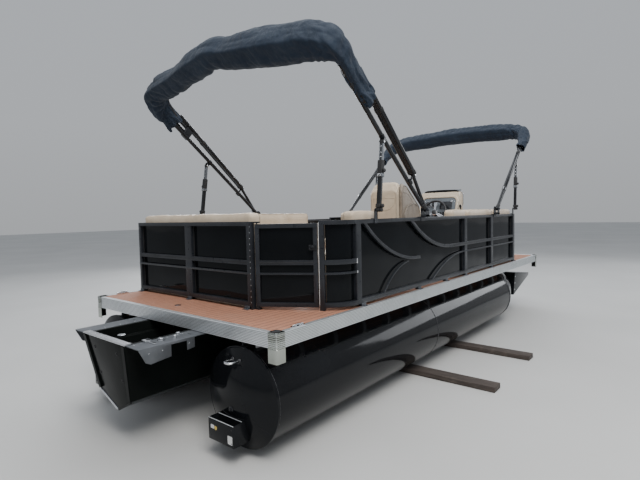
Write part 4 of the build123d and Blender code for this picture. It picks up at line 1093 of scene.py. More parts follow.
profile_pad("chair_back_pad", "chair_back", CHX - 0.188, CHX + 0.150,
            [(CHY - 0.235, 1.250), (CHY - 0.225, 1.870), (CHY - 0.175, 1.957), (CHY - 0.120, 1.962), (CHY - 0.128, 1.810),
             (CHY - 0.128, 1.250)], "vinyl_beige", r=0.022, rad=0.028, seed=2, squeeze=shoulders)
for sx, tag in ((-1, "port"), (1, "starboard")):
    xw = CHX + 0.138 if sx > 0 else CHX - 0.193
    profile_pad("chair_wing_" + tag, "chair_wings", xw, xw + 0.055,
                [(CHY - 0.185, 1.220), (CHY - 0.175, 1.880), (CHY - 0.150, 1.952), (CHY - 0.080, 1.935), (CHY + 0.130, 1.765),
                 (CHY + 0.205, 1.708), (CHY + 0.205, 1.220)], "vinyl_greige" if sx > 0 else "vinyl_beige", r=0.018, rad=0.05,
                seed=4 + sx,
                squeeze=lambda p, sx=sx: Vector((p.x, p.y, p.z - (0.075 if sx < 0 else 0.030) * max(0.0, min(1.0, (abs(p.x - CHX) - 0.138) / 0.055)) ** 1.7
                                                 * max(0.0, min(1.0, (p.z - 1.55) / 0.35)))))
for sx, tag in ((-1, "port"), (1, "starboard")):
    x0 = 0.8440 if sx > 0 else 0.4540
    profile_pad("chair_arm_pad_" + tag, "chair_wings", x0, x0 + 0.012,
                [(-0.540, 1.235), (-0.535, 1.600), (-0.470, 1.700), (-0.340, 1.741), (-0.220, 1.700), (-0.185, 1.600), (-0.185, 1.235)],
                "vinyl_greige" if sx > 0 else "vinyl_beige", r=0.005, rad=0.05, crown=0.006, seed=14 + sx, pressure=1.0, replace=False)
cushion("chair_seat_pad", mm(517, -505, 1202), mm(793, -145, 1320), "chair_seat", r=0.026, cell=0.022, crown=0.014,
        seams=[(1, -0.27)], seed=9)


# ---------------------------------------------------------------------------
# Packed covers: a sleeve of cloth round the folded tops, gathered in at its mouths
# ---------------------------------------------------------------------------
TH = radians(39.5)
ARM_LOCAL = {"aft": (Vector((0, -0.760, 1.665)), Vector((0, -cos(TH), sin(TH))), Vector((0, sin(TH), cos(TH)))),
             "fore": (Vector((0, 1.331, 1.665)), Vector((0, cos(TH), sin(TH))), Vector((0, -sin(TH), cos(TH))))}


def AP(nm, x, s, n):
    o, S, N = ARM_LOCAL[nm]
    return Vector((x, 0, 0)) + o + S * s + N * n


COVERS = {  # columns: x, along the arm, above the arm, half width in the arm plane, half height across it
    "aft": (
        (-1.212, 1.530, 0.026, 0.078, 0.092), (-1.216, 1.609, 0.028, 0.088, 0.098), (-1.216, 1.698, 0.035, 0.100, 0.104),
        (-1.198, 1.797, 0.047, 0.115, 0.113), (-1.120, 1.912, 0.062, 0.134, 0.130), (-0.980, 1.957, 0.072, 0.130, 0.134),
        (-0.670, 1.982, 0.082, 0.124, 0.134), (-0.230, 2.056, 0.082, 0.132, 0.138), (0.020, 2.089, 0.082, 0.126, 0.134),
        (0.180, 2.043, 0.082, 0.134, 0.140), (0.460, 2.008, 0.076, 0.152, 0.154), (0.800, 1.955, 0.076, 0.158, 0.154),
        (1.000, 1.918, 0.076, 0.158, 0.152), (1.120, 1.863, 0.076, 0.144, 0.144), (1.182, 1.767, 0.082, 0.102, 0.112),
        (1.194, 1.618, 0.077, 0.074, 0.098), (1.199, 1.459, 0.072, 0.062, 0.090), (1.202, 1.300, 0.068, 0.058, 0.088)),
    "fore": (
        (-1.198, 1.400, 0.028, 0.060, 0.074), (-1.197, 1.580, 0.038, 0.073, 0.086), (-1.178, 1.750, 0.049, 0.105, 0.106),
        (-1.080, 1.872, 0.052, 0.132, 0.132), (-0.900, 1.902, 0.052, 0.132, 0.136), (-0.550, 1.940, 0.052, 0.132, 0.138),
        (-0.180, 1.975, 0.052, 0.136, 0.140), (0.190, 1.970, 0.052, 0.136, 0.140), (0.550, 1.945, 0.052, 0.132, 0.138),
        (0.880, 1.912, 0.052, 0.132, 0.134), (1.050, 1.876, 0.052, 0.130, 0.130), (1.155, 1.775, 0.049, 0.107, 0.112),
        (1.196, 1.610, 0.040, 0.077, 0.090), (1.200, 1.400, 0.028, 0.060, 0.074)),
}


def smooth_path(rows, step):
    """Catmull-Rom through rows of numbers, spaced evenly by step"""
    R = [np.array(r, float) for r in rows]
    out = []
    for i in range(len(R) - 1):
        p0, p1, p2, p3 = R[max(i - 1, 0)], R[i], R[i + 1], R[min(i + 2, len(R) - 1)]
        for k in range(24):
            t = k / 24
            out.append(0.5 * (2 * p1 + (p2 - p0) * t + (2 * p0 - 5 * p1 + 4 * p2 - p3) * t * t +
                              (3 * p1 - p0 - 3 * p2 + p3) * t ** 3))
    out.append(R[-1])
    P = np.array(out)
    d = np.r_[0, np.cumsum(np.linalg.norm(np.diff(P[:, :2], axis=0), axis=1))]
    n = int(d[-1] / step) + 1
    ss = np.linspace(0, d[-1], n)
    return np.stack([np.interp(ss, d, P[:, c]) for c in range(P.shape[1])], 1), ss


def ridge(v):
    return 1 - abs(v) * 2.2


def cover(nm):
    rows, ss = smooth_path(COVERS[nm], 0.0165)
    total = ss[-1]
    n = len(rows)
    K = 73
    seed = 3.3 if nm == "aft" else 11.7
    ridge_at, ridge_h = (radians(-52), 0.013) if nm == "aft" else (radians(132), 0.006)
    slit = radians(150) if nm == "aft" else radians(-60)
    pts, faces = [], []
    for i in range(n):
        x, s, h, wa, hb = rows[i]
        a, b = rows[max(i - 1, 0)], rows[min(i + 1, n - 1)]
        t = Vector((b[0] - a[0], b[1] - a[1], 0)).normalized()
        side = Vector((-t.y, t.x, 0))          # in the arm plane, towards the outside of the bend for the top run
        e = min(ss[i], total - ss[i])
        along = ss[i]
        bend = max(math_exp(-((along - 0.50) / 0.16) ** 2), math_exp(-((total - along - 0.55) / 0.20) ** 2))
        for k in range(K):
            ph = slit + 0.012 + (2 * pi - 0.024) * k / (K - 1)
            c, d = cos(ph), sin(ph)
            # slightly boxy section: folded cloth and bows inside
            g = (abs(c) ** 2.5 + abs(d) ** 2.5) ** (-1 / 2.5)
            u = Vector((c, d, 0))
            q = (along * 1.0, c * 0.16, d * 0.16)
            lump = 0.012 * noise3((along, c * 0.25, d * 0.25), 3.0, seed) + 0.006 * noise3(q, 7.5, seed + 2)
            # long seam between the top panel and the side panel, puckered by its stitching
            dr_ = (ph - ridge_at + pi) % (2 * pi) - pi
            near = math_exp(-(dr_ / 0.30) ** 2)
            lump += ridge_h * math_exp(-abs(dr_) / 0.17) - 0.006 * math_exp(-((abs(dr_) - 0.50) / 0.28) ** 2)
            pk = ridge(noise3((along + 0.035 * dr_, 0.2, dr_ * 0.05), 31.0, seed + 31))
            lump -= 0.0075 * near * max(0.0, pk - 0.15) * (1 if dr_ < 0 else 0.4) * \
                (0.5 + max(0.0, noise3((along, 1.7, 0), 3.0, seed + 33)) * 1.4)
            # the side panel hangs in soft drapes under that seam
            under = 1 if -1.7 < dr_ < -0.1 else 0
            drape = noise3((along + 0.030 * dr_, 0.3, dr_ * 0.05), 12.0, seed + 12)
            lump -= under * 0.0125 * max(0.0, ridge(drape) - 0.30) * min(1.0, -dr_ / 0.35)
            # creases that run round the sleeve, deepest on the inner side of the bends and in the flanks
            skew = along + 0.05 * noise3(q, 5.0, seed + 8) + 0.022 * sin(2 * ph + along * 3)
            cr = ridge(noise3((skew, c * 0.035, d * 0.035), 21.0, seed + 4))
            cr2 = ridge(noise3((skew * 1.0, c * 0.05, d * 0.05), 40.0, seed + 6))
            amp = 0.25 + 0.45 * max(0.0, noise3((along, 0, 0), 2.2, seed + 1) + 0.35) + 0.9 * bend
            crease = -0.0075 * max(0, cr - 0.35) * amp - 0.0035 * max(0, cr2 - 0.3) * amp
            # deep slanting folds where the sleeve turns down to the arms
            fold = ridge(noise3((along * 0.8 + 0.10 * c + 0.07 * d, c * 0.05 + along * 0.2, d * 0.05), 11.0, seed + 20))
            crease -= 0.026 * bend * max(0, fold - 0.25)
            # long pulls along the sleeve
            lp = ridge(noise3((along * 0.22, c * 0.30 + 0.2, d * 0.30), 9.0, seed + 9))
            pull = -0.007 * max(0, lp - 0.45)
            # gathers at the mouths
            gat = 0.008 * sin(ph * 11 + 2.0 * sin(ph * 2 + seed)) * math_exp(-(e / 0.09) ** 2)
            rr = g * 0.94
            off = side * (wa * rr * c) + Vector((0, 0, hb * rr * d))
            nrm = off.normalized()
            off = off + nrm * (lump + crease + pull + gat)
            # sag of the loose underside
            wx = x + off.x
            ws = s + off.y
            wh = h + off.z - 0.006 * max(0.0, -d)
            # ragged mouth: the lip runs further out on one side
            if e < 0.12:
                lip = (1 - e / 0.12) * (0.018 * sin(ph * 2 + seed) + 0.010 * sin(ph * 5 + 1.3) + 0.005 * sin(ph * 13))
                ws -= lip
            pts.append(AP(nm, wx, ws, wh))
    for i in range(n - 1):
        for k in range(K - 1):
            faces.append((i * K + k, i * K + k + 1, (i + 1) * K + k + 1, (i + 1) * K + k))
    # the hem is turned in at each mouth
    for row, sg in ((0, 1), (n - 1, -1)):
        cen = sum((pts[row * K + k] for k in range(K)), Vector()) / K
        nxt = sum((pts[(row + sg * 3) * K + k] for k in range(K)), Vector()) / K
        inw = (nxt - cen).normalized()
        base = len(pts)
        for k in range(K):
            p = pts[row * K + k]
            pts.append(p.lerp(cen, 0.07) - inw * 0.002)
        for k in range(K):
            p = pts[row * K + k]
            pts.append(p.lerp(cen, 0.13) + inw * 0.03)
        for k in range(K - 1):
            k2 = k + 1
            f1 = (row * K + k, row * K + k2, base + k2, base + k)
            f2 = (base + k, base + k2, base + K + k2, base + K + k)
            if sg > 0:
                f1, f2 = f1[::-1], f2[::-1]
            faces += [f1, f2]
    node = f"bimini_{nm}_boot"
    o = soft_object(f"cover_{nm}", pts, faces, "canvas", BODY[node], (node,))
    held = {k for k in range(K * 3)} | {(n - 3) * K + k for k in range(K * 3)} | set(range(n * K, len(pts)))
    held |= {i * K for i in range(n)} | {i * K + K - 1 for i in range(n)}
    SIM.append(dict(o=o, body=BODY[node], held=held, lines=[], pressure=1.2, cap=0.016, grow=0.045, fill=None,
                    name=f"cover_{nm}", kind="sheet", sub=1, mat="canvas", axis=2, flip=1, K=K, rows=n, length=total,
                    zip=[(i * K, i * K + K - 1) for i in range(n)]))
    return o


cover("aft")
cover("fore")


def run_cloth():
    sc = bpy.context.scene
    for s in SIM:
        o = s["o"]
        s["rest"] = np.array([v.co[:] for v in o.data.vertices])
        vg = o.vertex_groups.new(name="held")
        vg.add(sorted(s["held"]), 1.0, "REPLACE")
        md = o.modifiers.new("fill", "CLOTH")
        st = md.settings
        st.quality = 5
        st.mass = 0.3
        st.tension_stiffness = 22 if s["kind"] == "pad" else 14
        st.compression_stiffness = 14 if s["kind"] == "pad" else 5
        st.shear_stiffness = 6
        st.bending_stiffness = 1.4 if s["kind"] == "pad" else 0.25
        st.air_damping = 2.0
        st.use_pressure = True
        st.uniform_pressure_force = s["pressure"]
        st.effector_weights.gravity = 0.0 if s["kind"] == "pad" else 0.10
        st.vertex_group_mass = "held"
        st.pin_stiffness = 1.0
        st.shrink_min = -s["grow"] if s["grow"] else -0.012
        md.collision_settings.use_collision = False
        md.point_cache.frame_end = 20
    for f in range(1, 21):
        sc.frame_set(f)
    dg = bpy.context.evaluated_depsgraph_get()
    for s in SIM:
        ev = s["o"].evaluated_get(dg)
        me = ev.to_mesh()
        new = np.array([v.co[:] for v in me.vertices])
        ev.to_mesh_clear()
        d = new - s["rest"]
        ln = np.linalg.norm(d, axis=1)
        bad = ~np.isfinite(ln)
        d[bad] = 0
        ln[bad] = 0
        k = np.where(ln > s["cap"], s["cap"] / np.maximum(ln, 1e-9) * (1 + 0.15 * np.tanh((ln - s["cap"]) / s["cap"])), 1.0)
        s["new"] = s["rest"] + d * k[:, None]
        print("cloth", s["name"], len(new), "moved up to", round(float(ln.max()) * 1000, 1), "mm")
    for s in SIM:
        s["o"].modifiers.clear()
        s["o"].vertex_groups.clear()
        s["o"].data.vertices.foreach_set("co", s["new"].astype(np.float32).ravel())
        s["o"].data.update()
    sc.frame_set(1)


run_cloth()


def finish_soft():
    for s in SIM:
        o = s["o"]
        me = o.data
        if "clamp" in s:
            co = np.array([v.co[:] for v in me.vertices])
            cl, ch = s["clamp"]
            over = np.maximum(co - ch, 0)
            co = np.minimum(co, ch) + 0.0008 * np.tanh(over / 0.004)
            over = np.maximum(cl - co, 0)
            co = np.maximum(co, cl) - 0.0008 * np.tanh(over / 0.004)
            me.vertices.foreach_set("co", co.astype(np.float32).ravel())
        bm = bmesh.new()
        bm.from_mesh(me)
        bmesh.ops.recalc_face_normals(bm, faces=bm.faces)
        bm.verts.ensure_lookup_table()
        bm.normal_update()
        nrm = [v.normal.copy() for v in bm.verts]
        pos = [v.co.copy() for v in bm.verts]
        # seams sink a little, which the subdivision turns into a soft valley
        for kind, line, closed in s["lines"]:
            for i in line:
                bm.verts[i].co -= nrm[i] * (0.005 if kind == "seam" else 0.0015)
        bm.to_mesh(me)
        bm.free()
        md = o.modifiers.new("smooth", "SUBSURF")
        md.levels = md.render_levels = s["sub"]
        dg = bpy.context.evaluated_depsgraph_get()
        ev = o.evaluated_get(dg)
        nm = bpy.data.meshes.new_from_object(ev)
        o.modifiers.clear()
        o.data = nm
        for p in nm.polygons:
            p.use_smooth = True
        s["pos"], s["nrm"] = pos, nrm
        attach(o, s["body"])
        if s["kind"] == "pad":
            pipe, stitch = Build(), Build()
            for kind, line, closed in s["lines"]:
                if kind == "pipe":
                    P = [pos[i] + nrm[i] * 0.0012 for i in line]
                    pipe.tube(P, 0.0036, 6, closed)
                else:
                    P = [pos[i] - nrm[i] * 0.0022 for i in line]
                    pipe.tube(P, 0.0022, 5, closed)
            po = pipe.done(s["name"] + "_piping", "piping" if s["mat"] == "vinyl_greige" else "piping_beige", s["body"])
        else:
            s["area"] = sum(p.area for p in nm.polygons)
            # zip along the slit
            line = [(pos[a] + pos[b]) / 2 + (nrm[a] + nrm[b]).normalized() * 0.0016 for a, b in s["zip"]]
            z = Build()
            z.tube(line, 0.0024, 6)
            tape_u = [(pos[b] - pos[a]).normalized() for a, b in s["zip"]]
            cols = []
            for p, u, (a, b) in zip(line, tape_u, s["zip"]):
                nn = (nrm[a] + nrm[b]).normalized()
                cols.append([z.bm.verts.new(p + u * w - nn * h) for w, h in ((-0.012, 0.0012), (0.012, 0.0012),
                                                                         (0.012, 0.0026), (-0.012, 0.0026))])
            for A_, B_ in zip(cols, cols[1:]):
                for k in range(4):
                    z.bm.faces.new((A_[k], A_[(k + 1) % 4], B_[(k + 1) % 4], B_[k]))
            zo = z.done(s["name"] + "_zip", "webbing", s["body"])


M["piping_beige"] = vinyl("piping_beige", (0.40, 0.32, 0.235), (0.48, 0.40, 0.30), (0.55, 0.47, 0.37), 700)
finish_soft()
# cut of each cover: its girth with the gathers let out, by its length along the middle with both hems
for s in SIM:
    if s["kind"] == "sheet":
        print("cover", s["name"], "area", round(s["area"], 3), "length", round(s["length"], 3))

# --- PART2 ---
# ---------------------------------------------------------------------------
# Tubes: rolled shells with welded rings, domed tails and rising noses
# ---------------------------------------------------------------------------
TX, TR, TZ = 0.858, 0.345, 0.395


def weld_bead(bld, cx, cy, cz, r, axis_y=True, w=0.0045, seg=180, seed=0.0, arc=(0, 360)):
    """a rippled bead round a tube at station cy"""
    a0, a1 = arc
    full = abs(a1 - a0) >= 359.9
    m = seg if full else seg + 1
    ring_prev = None
    rings = []
    for i in range(m):
        a = radians(a0 + (a1 - a0) * i / seg)
        ww = w * (1 + 0.22 * sin(i * 1.9 + seed))
        u = Vector((cos(a), 0, sin(a)))
        c = Vector((cx, cy, cz)) + u * (r + 0.0004)
        ring = []
        for k in range(6):
            b = 2 * pi * k / 6
            ring.append(bld.bm.verts.new(c + u * (ww * 0.55 * sin(b)) + Vector((0, ww * cos(b), 0))))
        rings.append(ring)
    pairs = list(zip(rings, rings[1:])) + ([(rings[-1], rings[0])] if full else [])
    for A, B in pairs:
        for k in range(6):
            bld.bm.faces.new((A[k], A[(k + 1) % 6], B[(k + 1) % 6], B[k]))


for sx, tag in ((-1, "port"), (1, "starboard")):
    node = "pontoon_" + tag
    bld = Build()
    dome_r = (TR ** 2 + 0.095 ** 2) / (2 * 0.095)
    prof = []
    for k in range(13):
        a = (k / 12) * 0.985 * TR
        prof.append((a, -2.945 + dome_r - sqrt(dome_r ** 2 - a ** 2)))
    prof += [(TR * 0.995, -2.8515), (TR + 0.004, -2.8505), (TR + 0.008, -2.847), (TR + 0.008, -2.831), (TR + 0.005, -2.828),
             (TR, -2.8275)]
    ys = [-2.8275]
    while ys[-1] < 1.90:
        ys.append(min(ys[-1] + 0.16, 1.93))
    prof += [(TR, y) for y in ys[1:]]
    prof.append((TR, 1.93))
    seg = 96
    rings = []
    for r_, y in prof:
        if r_ < 1e-6:
            rings.append([bld.bm.verts.new((sx * TX, y, TZ))])
            continue
        ring = []
        for k in range(seg):
            a = 2 * pi * k / seg
            rr = r_
            if -2.82 < y < 1.9:
                # a rolled shell is never quite round between its welds
                rr += 0.0011 * noise3((y, cos(a) * 0.5, sin(a) * 0.5), 1.7, 3 + sx) + 0.0004 * noise3((y, cos(a), sin(a)), 5.0, 8)
            ring.append(bld.bm.verts.new((sx * TX + rr * cos(a), y, TZ + rr * sin(a))))
        rings.append(ring)
    # nose: rings run from the shell to the cap, a little full at the shoulder
    for t in (0.04, 0.12, 0.22, 0.34, 0.47, 0.60, 0.73, 0.86, 1.0):
        f = t + 0.06 * sin(pi * t) * (1 - t)
        r_ = TR + (0.170 - TR) * t + 0.012 * sin(pi * t)
        zc = TZ + (0.502 - TZ) * t
        y = 1.93 + 0.57 * t
        rings.append([bld.bm.verts.new((sx * TX + r_ * cos(2 * pi * k / seg), y, zc + r_ * sin(2 * pi * k / seg)))
                      for k in range(seg)])
    for A, B in zip(rings, rings[1:]):
        for k in range(seg):
            k2 = (k + 1) % seg
            if len(A) == 1:
                bld.bm.faces.new((A[0], B[k2], B[k]))
            else:
                bld.bm.faces.new((A[k], A[k2], B[k2], B[k]))
    bld.bm.faces.new(rings[-1])
    bld.done("tube_shell_" + tag, "tube_gloss", BODY[node], SLOT[node], 30, (node,))
    wb = Build()
    for y, q in ((-2.8265, 1.0), (-0.480, 1.1), (1.900, 1.0), (1.930, 0.8)):
        weld_bead(wb, sx * TX, y, TZ, TR, w=0.0052 * q, seed=y)
    wb.done("tube_welds_" + tag, "weld", BODY[node], SLOT[node], 60)
    # lengthwise fin under the tube and drain plug in the dome
    fin = Build()
    fin.box((sx * TX - 0.004, -2.78, 0.0515), (sx * TX + 0.004, -0.80, TZ - TR + 0.003), 0.001)
    fin.lathe((sx * TX, -2.9435, TZ - 0.05), (0, -1, 0), [(0.022, -0.006), (0.022, 0.003), (0.019, 0.005), (0.0, 0.005)], 28)
    fin.lathe((sx * TX, -2.9485, TZ - 0.05), (0, -1, 0), [(0.010, -0.002), (0.010, 0.009), (0.008, 0.011), (0.0, 0.011)], 6)
    fin.done("tube_plug_" + tag, "tube_satin", BODY[node], SLOT[node])

rounded("nose_caps", 0.005, 3)
nb = Build()
for sx in (-1, 1):
    for y, z in ((2.560, 0.600), (2.541, 0.500), (2.524, 0.400)):
        nb.bolt((sx * (TX + 0.222), y + 0.02, z), (sx, 0, 0), 0.008, 0.006)
        nb.bolt((sx * (TX - 0.222), y + 0.02, z), (-sx, 0, 0), 0.008, 0.006)
nb.done("nose_cap_bolts", "stainless", BODY["nose_caps"])
nt = Build()
for sx in (-1, 1):
    # a thin lip along the upper edge of each cap
    for ex in (-0.222, 0.222):
        x = sx * TX + ex
        nt.tube([(x, 2.572, 0.6655), (x, 2.9, 0.6285), (x, 3.314, 0.5815)], 0.003, 8)
nt.done("nose_cap_welds", "weld", BODY["nose_caps"])

# tow eyes: bent bar with pads welded to the dome
te = Build()
for sx in (-1, 1):
    x0, ze = sx * TX, 0.665
    te.tube(fillet([(x0 - 0.034, -2.872, ze), (x0 - 0.034, -2.973, ze), (x0 + 0.034, -2.973, ze), (x0 + 0.034, -2.872, ze)],
                   0.028, 8), 0.008, 14)
te.done("tow_eye_bars", "stainless", BODY["tow_eyes"], SLOT["tow_eyes"], 40, ("tow_eyes",))
tp = Build()
for sx in (-1, 1):
    for dx in (-0.034, 0.034):
        tp.lathe((sx * TX + dx, -2.889, 0.665), (0, -1, 0), [(0.0155, 0), (0.0135, 0.004), (0.0095, 0.008), (0, 0.008)], 18)
tp.done("tow_eye_welds", "weld", BODY["tow_eyes"])

# tail boxes: bright lips in the lighter trim metal as painted highlights along the rims, a moulded tray inside, blank
# labels
tb = Build()
for sx in (-1, 1):
    x0 = sx * 0.840
    tb.tube([(x0 - 0.128, -3.0205, 0.2835), (x0 + 0.128, -3.0205, 0.2835)], 0.0024, 8)
    tb.tube([(x0 - 0.118, -2.941, 0.2845), (x0 + 0.118, -2.941, 0.2845)], 0.0026, 8)
tb.done("tail_box_lip_highlights", "trim_athwart_painted_highlight", BODY["tail_boxes"])
ti = Build()
for sx in (-1, 1):
    x0 = sx * 0.840
    ti.box((x0 - 0.112, -3.008, 0.2005), (x0 + 0.112, -2.944, 0.208), 0.002)
    for dx in (-0.075, 0.0, 0.075):
        ti.box((x0 + dx - 0.003, -3.008, 0.206), (x0 + dx + 0.003, -2.944, 0.238), 0.001)
    for dx in (-0.09, 0.09):
        ti.bolt((x0 + dx, -2.976, 0.208), (0, 0, 1), 0.007, 0.006)
    for dz in (0.165, 0.255):
        for dx in (-0.110, 0.110):
            ti.dome((x0 + dx, -3.0222, dz), (0, -1, 0), 0.0045, 0.0025)
ti.done("tail_box_insides", "rubber", BODY["tail_boxes"])
M["label_yellow"] = moulded("label_yellow", (0.50, 0.34, 0.05), (0.62, 0.44, 0.08), (0.3, 0.45))
lb = Build()
lb.prism([(0.014 * cos(2 * pi * k / 24), 0.014 * sin(2 * pi * k / 24)) for k in range(24)],
         plane4((0.788, -3.0219, 0.226), (1, 0, 0), (0, -1, 0)), 0.0009, 0)
lb.done("blank_label_round", "label_yellow", BODY["tail_boxes"])
lb = Build()
lb.prism(rrect(0.036, 0.026, 0.004), plane4((0.754, -3.0219, 0.228), (1, 0, 0), (0, -1, 0)), 0.0008, 0)
lb.done("blank_label_upper", "sticker_blank", BODY["tail_boxes"])
lb = Build()
lb.prism(rrect(0.046, 0.056, 0.006), plane4((0.934, -3.0219, 0.184), (1, 0, 0), (0, -1, 0)), 0.0010, 0)
lb.done("blank_label_lower", "sticker_blank", BODY["tail_boxes"])

# pull-up cleats: slotted plate, horn on two stems
cl = Build()
for sx in (-1, 1):
    for yc in (-2.622, 3.110):
        n = 14
        slot_poly = [(0.044 + 0.021 * cos(radians(-90 + 180 * k / n)), 0.021 * sin(radians(-90 + 180 * k / n))) for k in range(n + 1)] + \
                    [(-0.044 + 0.021 * cos(radians(90 + 180 * k / n)), 0.021 * sin(radians(90 + 180 * k / n))) for k in range(n + 1)]
        pl = plane4((sx * 1.188, yc, 0.8895), (0, 1, 0), (0, 0, 1))
        cl.prism(slot_poly, pl, 0.006, 0.0022, 3)
        cl.tube([(sx * 1.188, yc + t * 0.052, 0.8995 + 0.0035 * (1 - abs(t)) + 0.0012) for t in
                 (-1, -0.85, -0.6, -0.3, 0, 0.3, 0.6, 0.85, 1)], [0.002, 0.0045, 0.0055, 0.006, 0.006, 0.006, 0.0055, 0.0045, 0.002], 12)
        for t in (-0.020, 0.020):
            cl.lathe((sx * 1.188, yc + t, 0.894), (0, 0, 1), [(0.0045, 0), (0.0045, 0.009), (0, 0.009)], 12)
        for t in (-0.053, 0.053):
            cl.dome((sx * 1.188, yc + t, 0.8953), (0, 0, 1), 0.004, 0.0018)
cl.done("cleats", "stainless", BODY["deck_cleats"], SLOT["deck_cleats"], 34, ("deck_cleats",))

# a flush filler fitting in the aft deck
ff = Build()
ff.lathe((-0.156, -2.662, 0.8868), (0, 0, 1), [(0.030, 0), (0.030, 0.0022), (0.027, 0.0034), (0.020, 0.0034), (0.018, 0.0024),
                                              (0.0, 0.0026)], 36)
ff.box((-0.168, -2.664, 0.8886), (-0.144, -2.660, 0.8904), 0.0008)
ff.done("deck_fitting", "stainless", BODY["deck_panel"])

# screws along the trim
ds = Build()
y = -2.70
while y < 3.2:
    for sx in (-1, 1):
        ds.dome((sx * 1.196, y, 0.8898), (0, 0, 1), 0.0042, 0.0018)
    y += 0.40
for k in range(7):
    ds.dome((-1.05 + k * 0.35, -2.836, 0.8898), (0, 0, 1), 0.0042, 0.0018)
    ds.dome((-1.05 + k * 0.35, 3.262, 0.8898), (0, 0, 1), 0.0042, 0.0018)
ds.done("deck_edge_screws", "stainless", HULL)

# ---------------------------------------------------------------------------
# Motor pod
# ---------------------------------------------------------------------------
rounded("motor_pod", 0.004, 3, name="pod_shell")
PB = BODY["motor_pod"]


def rake(z):
    return -3.39556 + (0.900 - z) * 0.11165 / 0.685


RAKE_N = Vector((0, -0.986976, -0.160869))
pb = Build()
# folded stiffeners down both sides of the raked face
for sx in (-1, 1):
    quad = [(sx * 0.306, 0.779), (sx * 0.268, 0.779), (sx * 0.196, 0.372), (sx * 0.229, 0.362)]
    lo_v = [Vector((x, rake(z) + 0.001, z)) for x, z in quad]
    hi_v = [v + RAKE_N * 0.011 for v in lo_v]
    A = [pb.bm.verts.new(v) for v in lo_v]
    B = [pb.bm.verts.new(v) for v in hi_v]
    fs = [pb.bm.faces.new(A), pb.bm.faces.new(B)] + [pb.bm.faces.new((A[k], A[(k + 1) % 4], B[(k + 1) % 4], B[k])) for k in range(4)]
    pb._bevel(fs, 0.003, 2)
pb.done("pod_stiffeners", "pod_gloss", PB)
# keel weld strips: the port one in silver paint is a painted highlight, the starboard one stays gloss black
for sx, wm_ in ((-1, "silver_paint"), (1, "pod_gloss")):
    ps = Build()
    a, b = Vector((sx * 0.226, rake(0.352), 0.352)), Vector((sx * 0.010, rake(0.243), 0.243))
    t = (b - a).normalized()
    pts = [a + RAKE_N * 0.002, b + RAKE_N * 0.002]
    ps.tube(pts, 0.005, 8, flat=(0.0075, 0.0045))
    ps.done("pod_keel_weld_" + ("port" if sx < 0 else "starboard"), wm_, PB)
# four blank bolt holes and a plate for the motor on the transom, and rivets along the flanges
pr = Build()
for x in (-0.163, 0.163):
    for z in (0.700, 0.500):
        p = Vector((x, rake(z), z)) + RAKE_N * 0.0003
        pr.lathe(p, RAKE_N, [(0.013, -0.002), (0.013, 0.0012), (0.0105, 0.002), (0.0065, 0.002), (0.006, -0.001), (0, -0.001)], 20)
pr.done("pod_bolt_bushes", "rubber", PB)
pv = Build()
for sx in (-1, 1):
    for k in range(8):
        y = -3.33 + k * 0.125
        pv.dome((sx * 0.340, y, 0.7832), (0, 0, 1), 0.0055, 0.003)
    for y in (-3.30, -3.20, -2.99):
        pv.dome((sx * 0.4752, y, 0.742), (sx, 0, 0), 0.005, 0.003)
    for x in (0.06, 0.16, 0.26):
        pv.dome((sx * x, -3.357, 0.7952), (0, 0, 1), 0.005, 0.0028)
pv.done("pod_rivets", "stainless", PB)
# splash well fittings: drain scuppers and a cable gland
pw = Build()
for sx in (-1, 1):
    pw.lathe((sx * 0.12, -3.292, 0.600), Vector((0, 1, 0.1)), [(0.034, -0.004), (0.034, 0.006), (0.030, 0.009), (0.022, 0.009), (0.020, 0.003), (0, 0.003)], 30)
pw.box((-0.10, -2.80, 0.5605), (0.10, -2.74, 0.585), 0.006)
pw.lathe((0.05, -2.78, 0.583), (0, 0, 1), [(0.020, 0), (0.020, 0.02), (0.014, 0.03), (0.012, 0.05), (0, 0.05)], 20)
pw.done("well_fittings", "rubber", PB)
pg = Build()
for (x, y, z, ax, r_, h_) in ((0.375, -3.150, 0.7832, (0, 0, 1), 0.019, 0.016), (0.405, -3.060, 0.7832, (0, 0, 1), 0.012, 0.022),
                             (0.330, -2.985, 0.7832, (0, 0, 1), 0.015, 0.014)):
    pg.lathe((x, y, z), ax, [(r_ * 1.4, 0), (r_ * 1.4, 0.003), (r_, 0.004), (r_, h_), (r_ * 0.7, h_ + 0.003), (0, h_ + 0.003)], 24)
pg.lathe((0.0, -3.240, 0.7832), (0, 0, 1), [(0.030, -0.004), (0.030, 0.002), (0.024, 0.005), (0, 0.005)], 28)
pg.box((0.30, -3.255, 0.783), (0.352, -3.205, 0.798), 0.004)
pg.box((0.352, -3.24, 0.783), (0.44, -3.222, 0.792), 0.002)
pg.done("flange_fittings", "stainless", BODY["pod_flanges"])
# gusset straps under the flanges, to the deck beams
ph_ = Build()
for sx in (-1, 1):
    ph_.box((sx * 0.309 if sx > 0 else -0.475, -2.42, 0.777), (sx * 0.475 if sx > 0 else -0.309, -2.40, 0.7865), 0.001)
    for y in (-2.93, -2.60):
        ph_.box((sx * 0.392 - 0.02, y - 0.003, 0.783), (sx * 0.392 + 0.02, y + 0.003, 0.7865), 0.001)
ph_.done("flange_straps", "grey_bracket", BODY["pod_flanges"])

# ---------------------------------------------------------------------------
# Fences and gates: seams, screws, feet, hinge and latch strips, rail ends
# ---------------------------------------------------------------------------
FENCE_BODY = BODY["fence_aft"]
fs_ = Build()
fb = Build()


